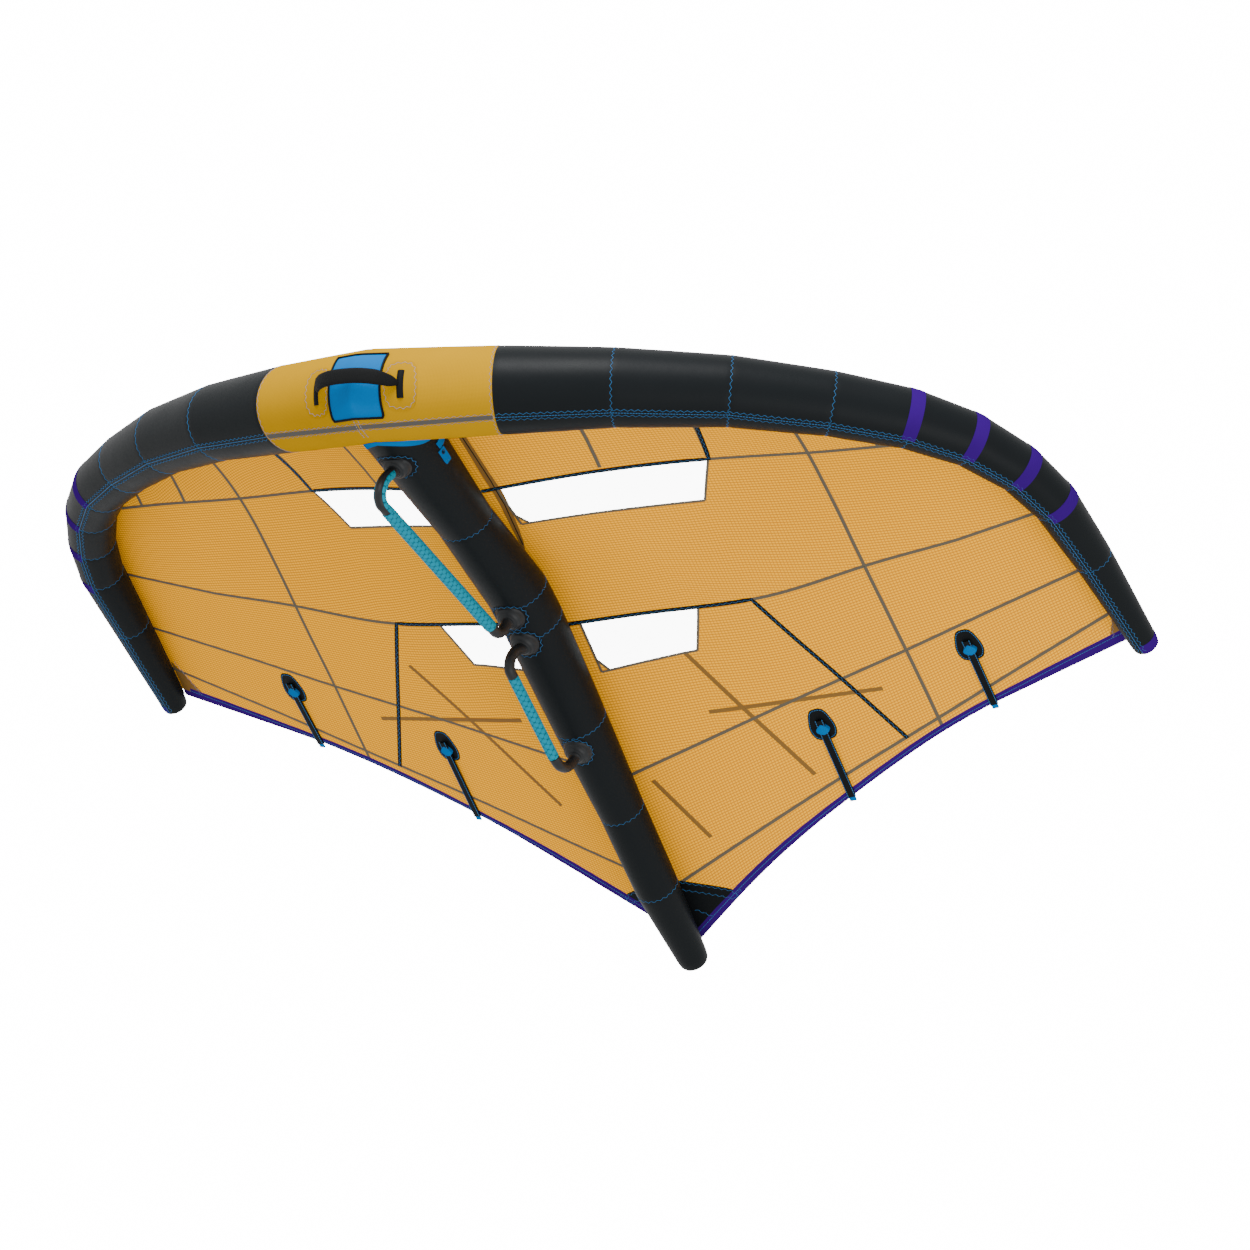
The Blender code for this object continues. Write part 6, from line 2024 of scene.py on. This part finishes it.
def make_stage():
    """A pale floor well below the wing, soft lights and the photograph's camera."""
    scene = bpy.context.scene
    mesh = bpy.data.meshes.new("studio_floor")
    half, height = 60.0, -17.5
    mesh.from_pydata([(-half, -half, height), (half, -half, height), (half, half, height), (-half, half, height)],
                     [], [(0, 1, 2, 3)])
    made, tree, shader = new_finish("pale_studio_floor", 0.9)
    tone = noise(tree, places_of(tree, False), 0.2)
    tree.links.new(blended(tree, tone, linear("F1F1EF"), linear("F4F4F3")), shader.inputs["Base Color"])
    mesh.materials.append(made)
    floor = bpy.data.objects.new("studio_floor", mesh)
    scene.collection.objects.link(floor)
    world = bpy.data.worlds.new("soft_studio")
    scene.world = world
    world.use_nodes = True
    background = world.node_tree.nodes["Background"]
    background.inputs["Color"].default_value = linear("FFFFFF")
    rays = add(world.node_tree, "ShaderNodeLightPath").outputs["Is Camera Ray"]
    strength = add(world.node_tree, "ShaderNodeMapRange", {0: rays, 3: 1.4, 4: 16.0}).outputs[0]
    world.node_tree.links.new(strength, background.inputs["Strength"])
    right = np.array(CAMERA_RIGHT)
    forward = np.array(CAMERA_FORWARD)
    upward = np.cross(right, forward)
    for name, direction, distance, size, power in (
        ("key_light", upward * 1.0 - forward * 0.45 - right * 0.15, 7.0, 3.0, 850.0),
        ("fill_light", -forward * 1.0 + right * 0.6 - upward * 0.5, 8.0, 5.0, 380.0),
    ):
        light = bpy.data.lights.new(name, "AREA")
        light.size = size
        light.energy = power
        lamp = bpy.data.objects.new(name, light)
        lamp.location = Vector(unit(direction) * distance)
        lamp.rotation_mode = "QUATERNION"
        lamp.rotation_quaternion = Vector(unit(direction)).to_track_quat("Z", "Y")
        scene.collection.objects.link(lamp)
    lens = bpy.data.cameras.new("photo_camera")
    lens.lens = CAMERA_LENS
    lens.sensor_width = CAMERA_SENSOR
    lens.clip_end = 200.0
    camera = bpy.data.objects.new("photo_camera", lens)
    turn = Matrix((right, upward, -forward)).transposed().to_4x4()
    camera.matrix_world = Matrix.Translation(CAMERA_PLACE) @ turn
    scene.collection.objects.link(camera)
    scene.camera = camera


def finish_hidden_parts():
    for node, name in (("le_bladder", "bladder"), ("strut_bladder", "bladder"), ("crossover_hose", "hose")):
        keep_node(node, name)


# Operators and panel


class WING_OT_leading_edge(bpy.types.Operator):
    """Make the panels and purple bands of the leading-edge tube"""

    bl_idname = "wing.leading_edge"
    bl_label = "Leading edge"

    def execute(self, context):
        make_leading_edge()
        make_bands()
        return {"FINISHED"}


class WING_OT_strut(bpy.types.Operator):
    """Make the panels of the strut, its collar and the tab beside it"""

    bl_idname = "wing.strut"
    bl_label = "Strut"

    def execute(self, context):
        make_strut()
        make_collar()
        make_tab()
        return {"FINISHED"}


class WING_OT_canopy(bpy.types.Operator):
    """Make the canopy's bands, windows and hem"""

    bl_idname = "wing.canopy"
    bl_label = "Canopy"

    def execute(self, context):
        make_canopy()
        return {"FINISHED"}


class WING_OT_trims(bpy.types.Operator):
    """Make the canopy's seams, tapes, strips and corner patches"""

    bl_idname = "wing.trims"
    bl_label = "Seams and patches"

    def execute(self, context):
        make_seams()
        return {"FINISHED"}


class WING_OT_battens(bpy.types.Operator):
    """Make the batten pockets with their patches and sleeves"""

    bl_idname = "wing.battens"
    bl_label = "Battens"

    def execute(self, context):
        make_battens()
        return {"FINISHED"}


class WING_OT_strut_handles(bpy.types.Operator):
    """Make the two handles under the strut and their sockets"""

    bl_idname = "wing.strut_handles"
    bl_label = "Strut handles"

    def execute(self, context):
        make_sockets()
        make_strut_handle("front", FRONT_HANDLE_SHARES, (0, 1), FRONT_HANDLE_DROP, FRONT_GRIP_RADIUS)
        make_strut_handle("rear", REAR_HANDLE_SHARES, (2, 3), REAR_HANDLE_DROP, REAR_GRIP_RADIUS)
        return {"FINISHED"}


class WING_OT_edge_handle(bpy.types.Operator):
    """Make the handle on the leading edge with its pad and load patches"""

    bl_idname = "wing.edge_handle"
    bl_label = "Leading-edge handle"

    def execute(self, context):
        make_load_patches()
        make_pad()
        make_strap()
        return {"FINISHED"}


class WING_OT_valve(bpy.types.Operator):
    """Make the valve and its cap, and finish the parts inside the tubes"""

    bl_idname = "wing.valve"
    bl_label = "Valve and bladders"

    def execute(self, context):
        make_valve()
        finish_hidden_parts()
        return {"FINISHED"}


class WING_OT_stitches(bpy.types.Operator):
    """Sew every row of stitches"""

    bl_idname = "wing.stitches"
    bl_label = "Stitches"

    def execute(self, context):
        make_tube_stitches()
        make_stitches()
        return {"FINISHED"}


class WING_OT_stage(bpy.types.Operator):
    """Set the floor, the lights and the camera"""

    bl_idname = "wing.stage"
    bl_label = "Stage"

    def execute(self, context):
        make_stage()
        return {"FINISHED"}


OPERATORS = (
    WING_OT_stage, WING_OT_leading_edge, WING_OT_strut, WING_OT_canopy, WING_OT_trims, WING_OT_battens,
    WING_OT_strut_handles, WING_OT_edge_handle, WING_OT_valve, WING_OT_stitches,
)


class WING_PT_panel(bpy.types.Panel):
    """Lists the wing's pieces, sizes and colours"""

    bl_idname = "WING_PT_panel"
    bl_label = "Foil wing"
    bl_space_type = "VIEW_3D"
    bl_region_type = "UI"
    bl_category = "Wing"

    def draw(self, context):
        for operator in OPERATORS:
            self.layout.operator(operator.bl_idname)
        for group in (context.scene.wing_sizes, context.scene.wing_colours):
            box = self.layout.box()
            for name in group.__annotations__:
                box.prop(group, name)


CLASSES = (WingColours, WingSizes, *OPERATORS, WING_PT_panel)


def register():
    for item in CLASSES:
        bpy.utils.register_class(item)
    bpy.types.Scene.wing_colours = PointerProperty(type=WingColours)
    bpy.types.Scene.wing_sizes = PointerProperty(type=WingSizes)


def unregister():
    del bpy.types.Scene.wing_sizes
    del bpy.types.Scene.wing_colours
    for item in reversed(CLASSES):
        bpy.utils.unregister_class(item)


def main():
    register()
    bpy.ops.wing.stage()
    bpy.ops.wing.leading_edge()
    bpy.ops.wing.strut()
    bpy.ops.wing.canopy()
    bpy.ops.wing.trims()
    bpy.ops.wing.battens()
    bpy.ops.wing.strut_handles()
    bpy.ops.wing.edge_handle()
    bpy.ops.wing.valve()
    bpy.ops.wing.stitches()


if __name__ == "__main__":
    main()
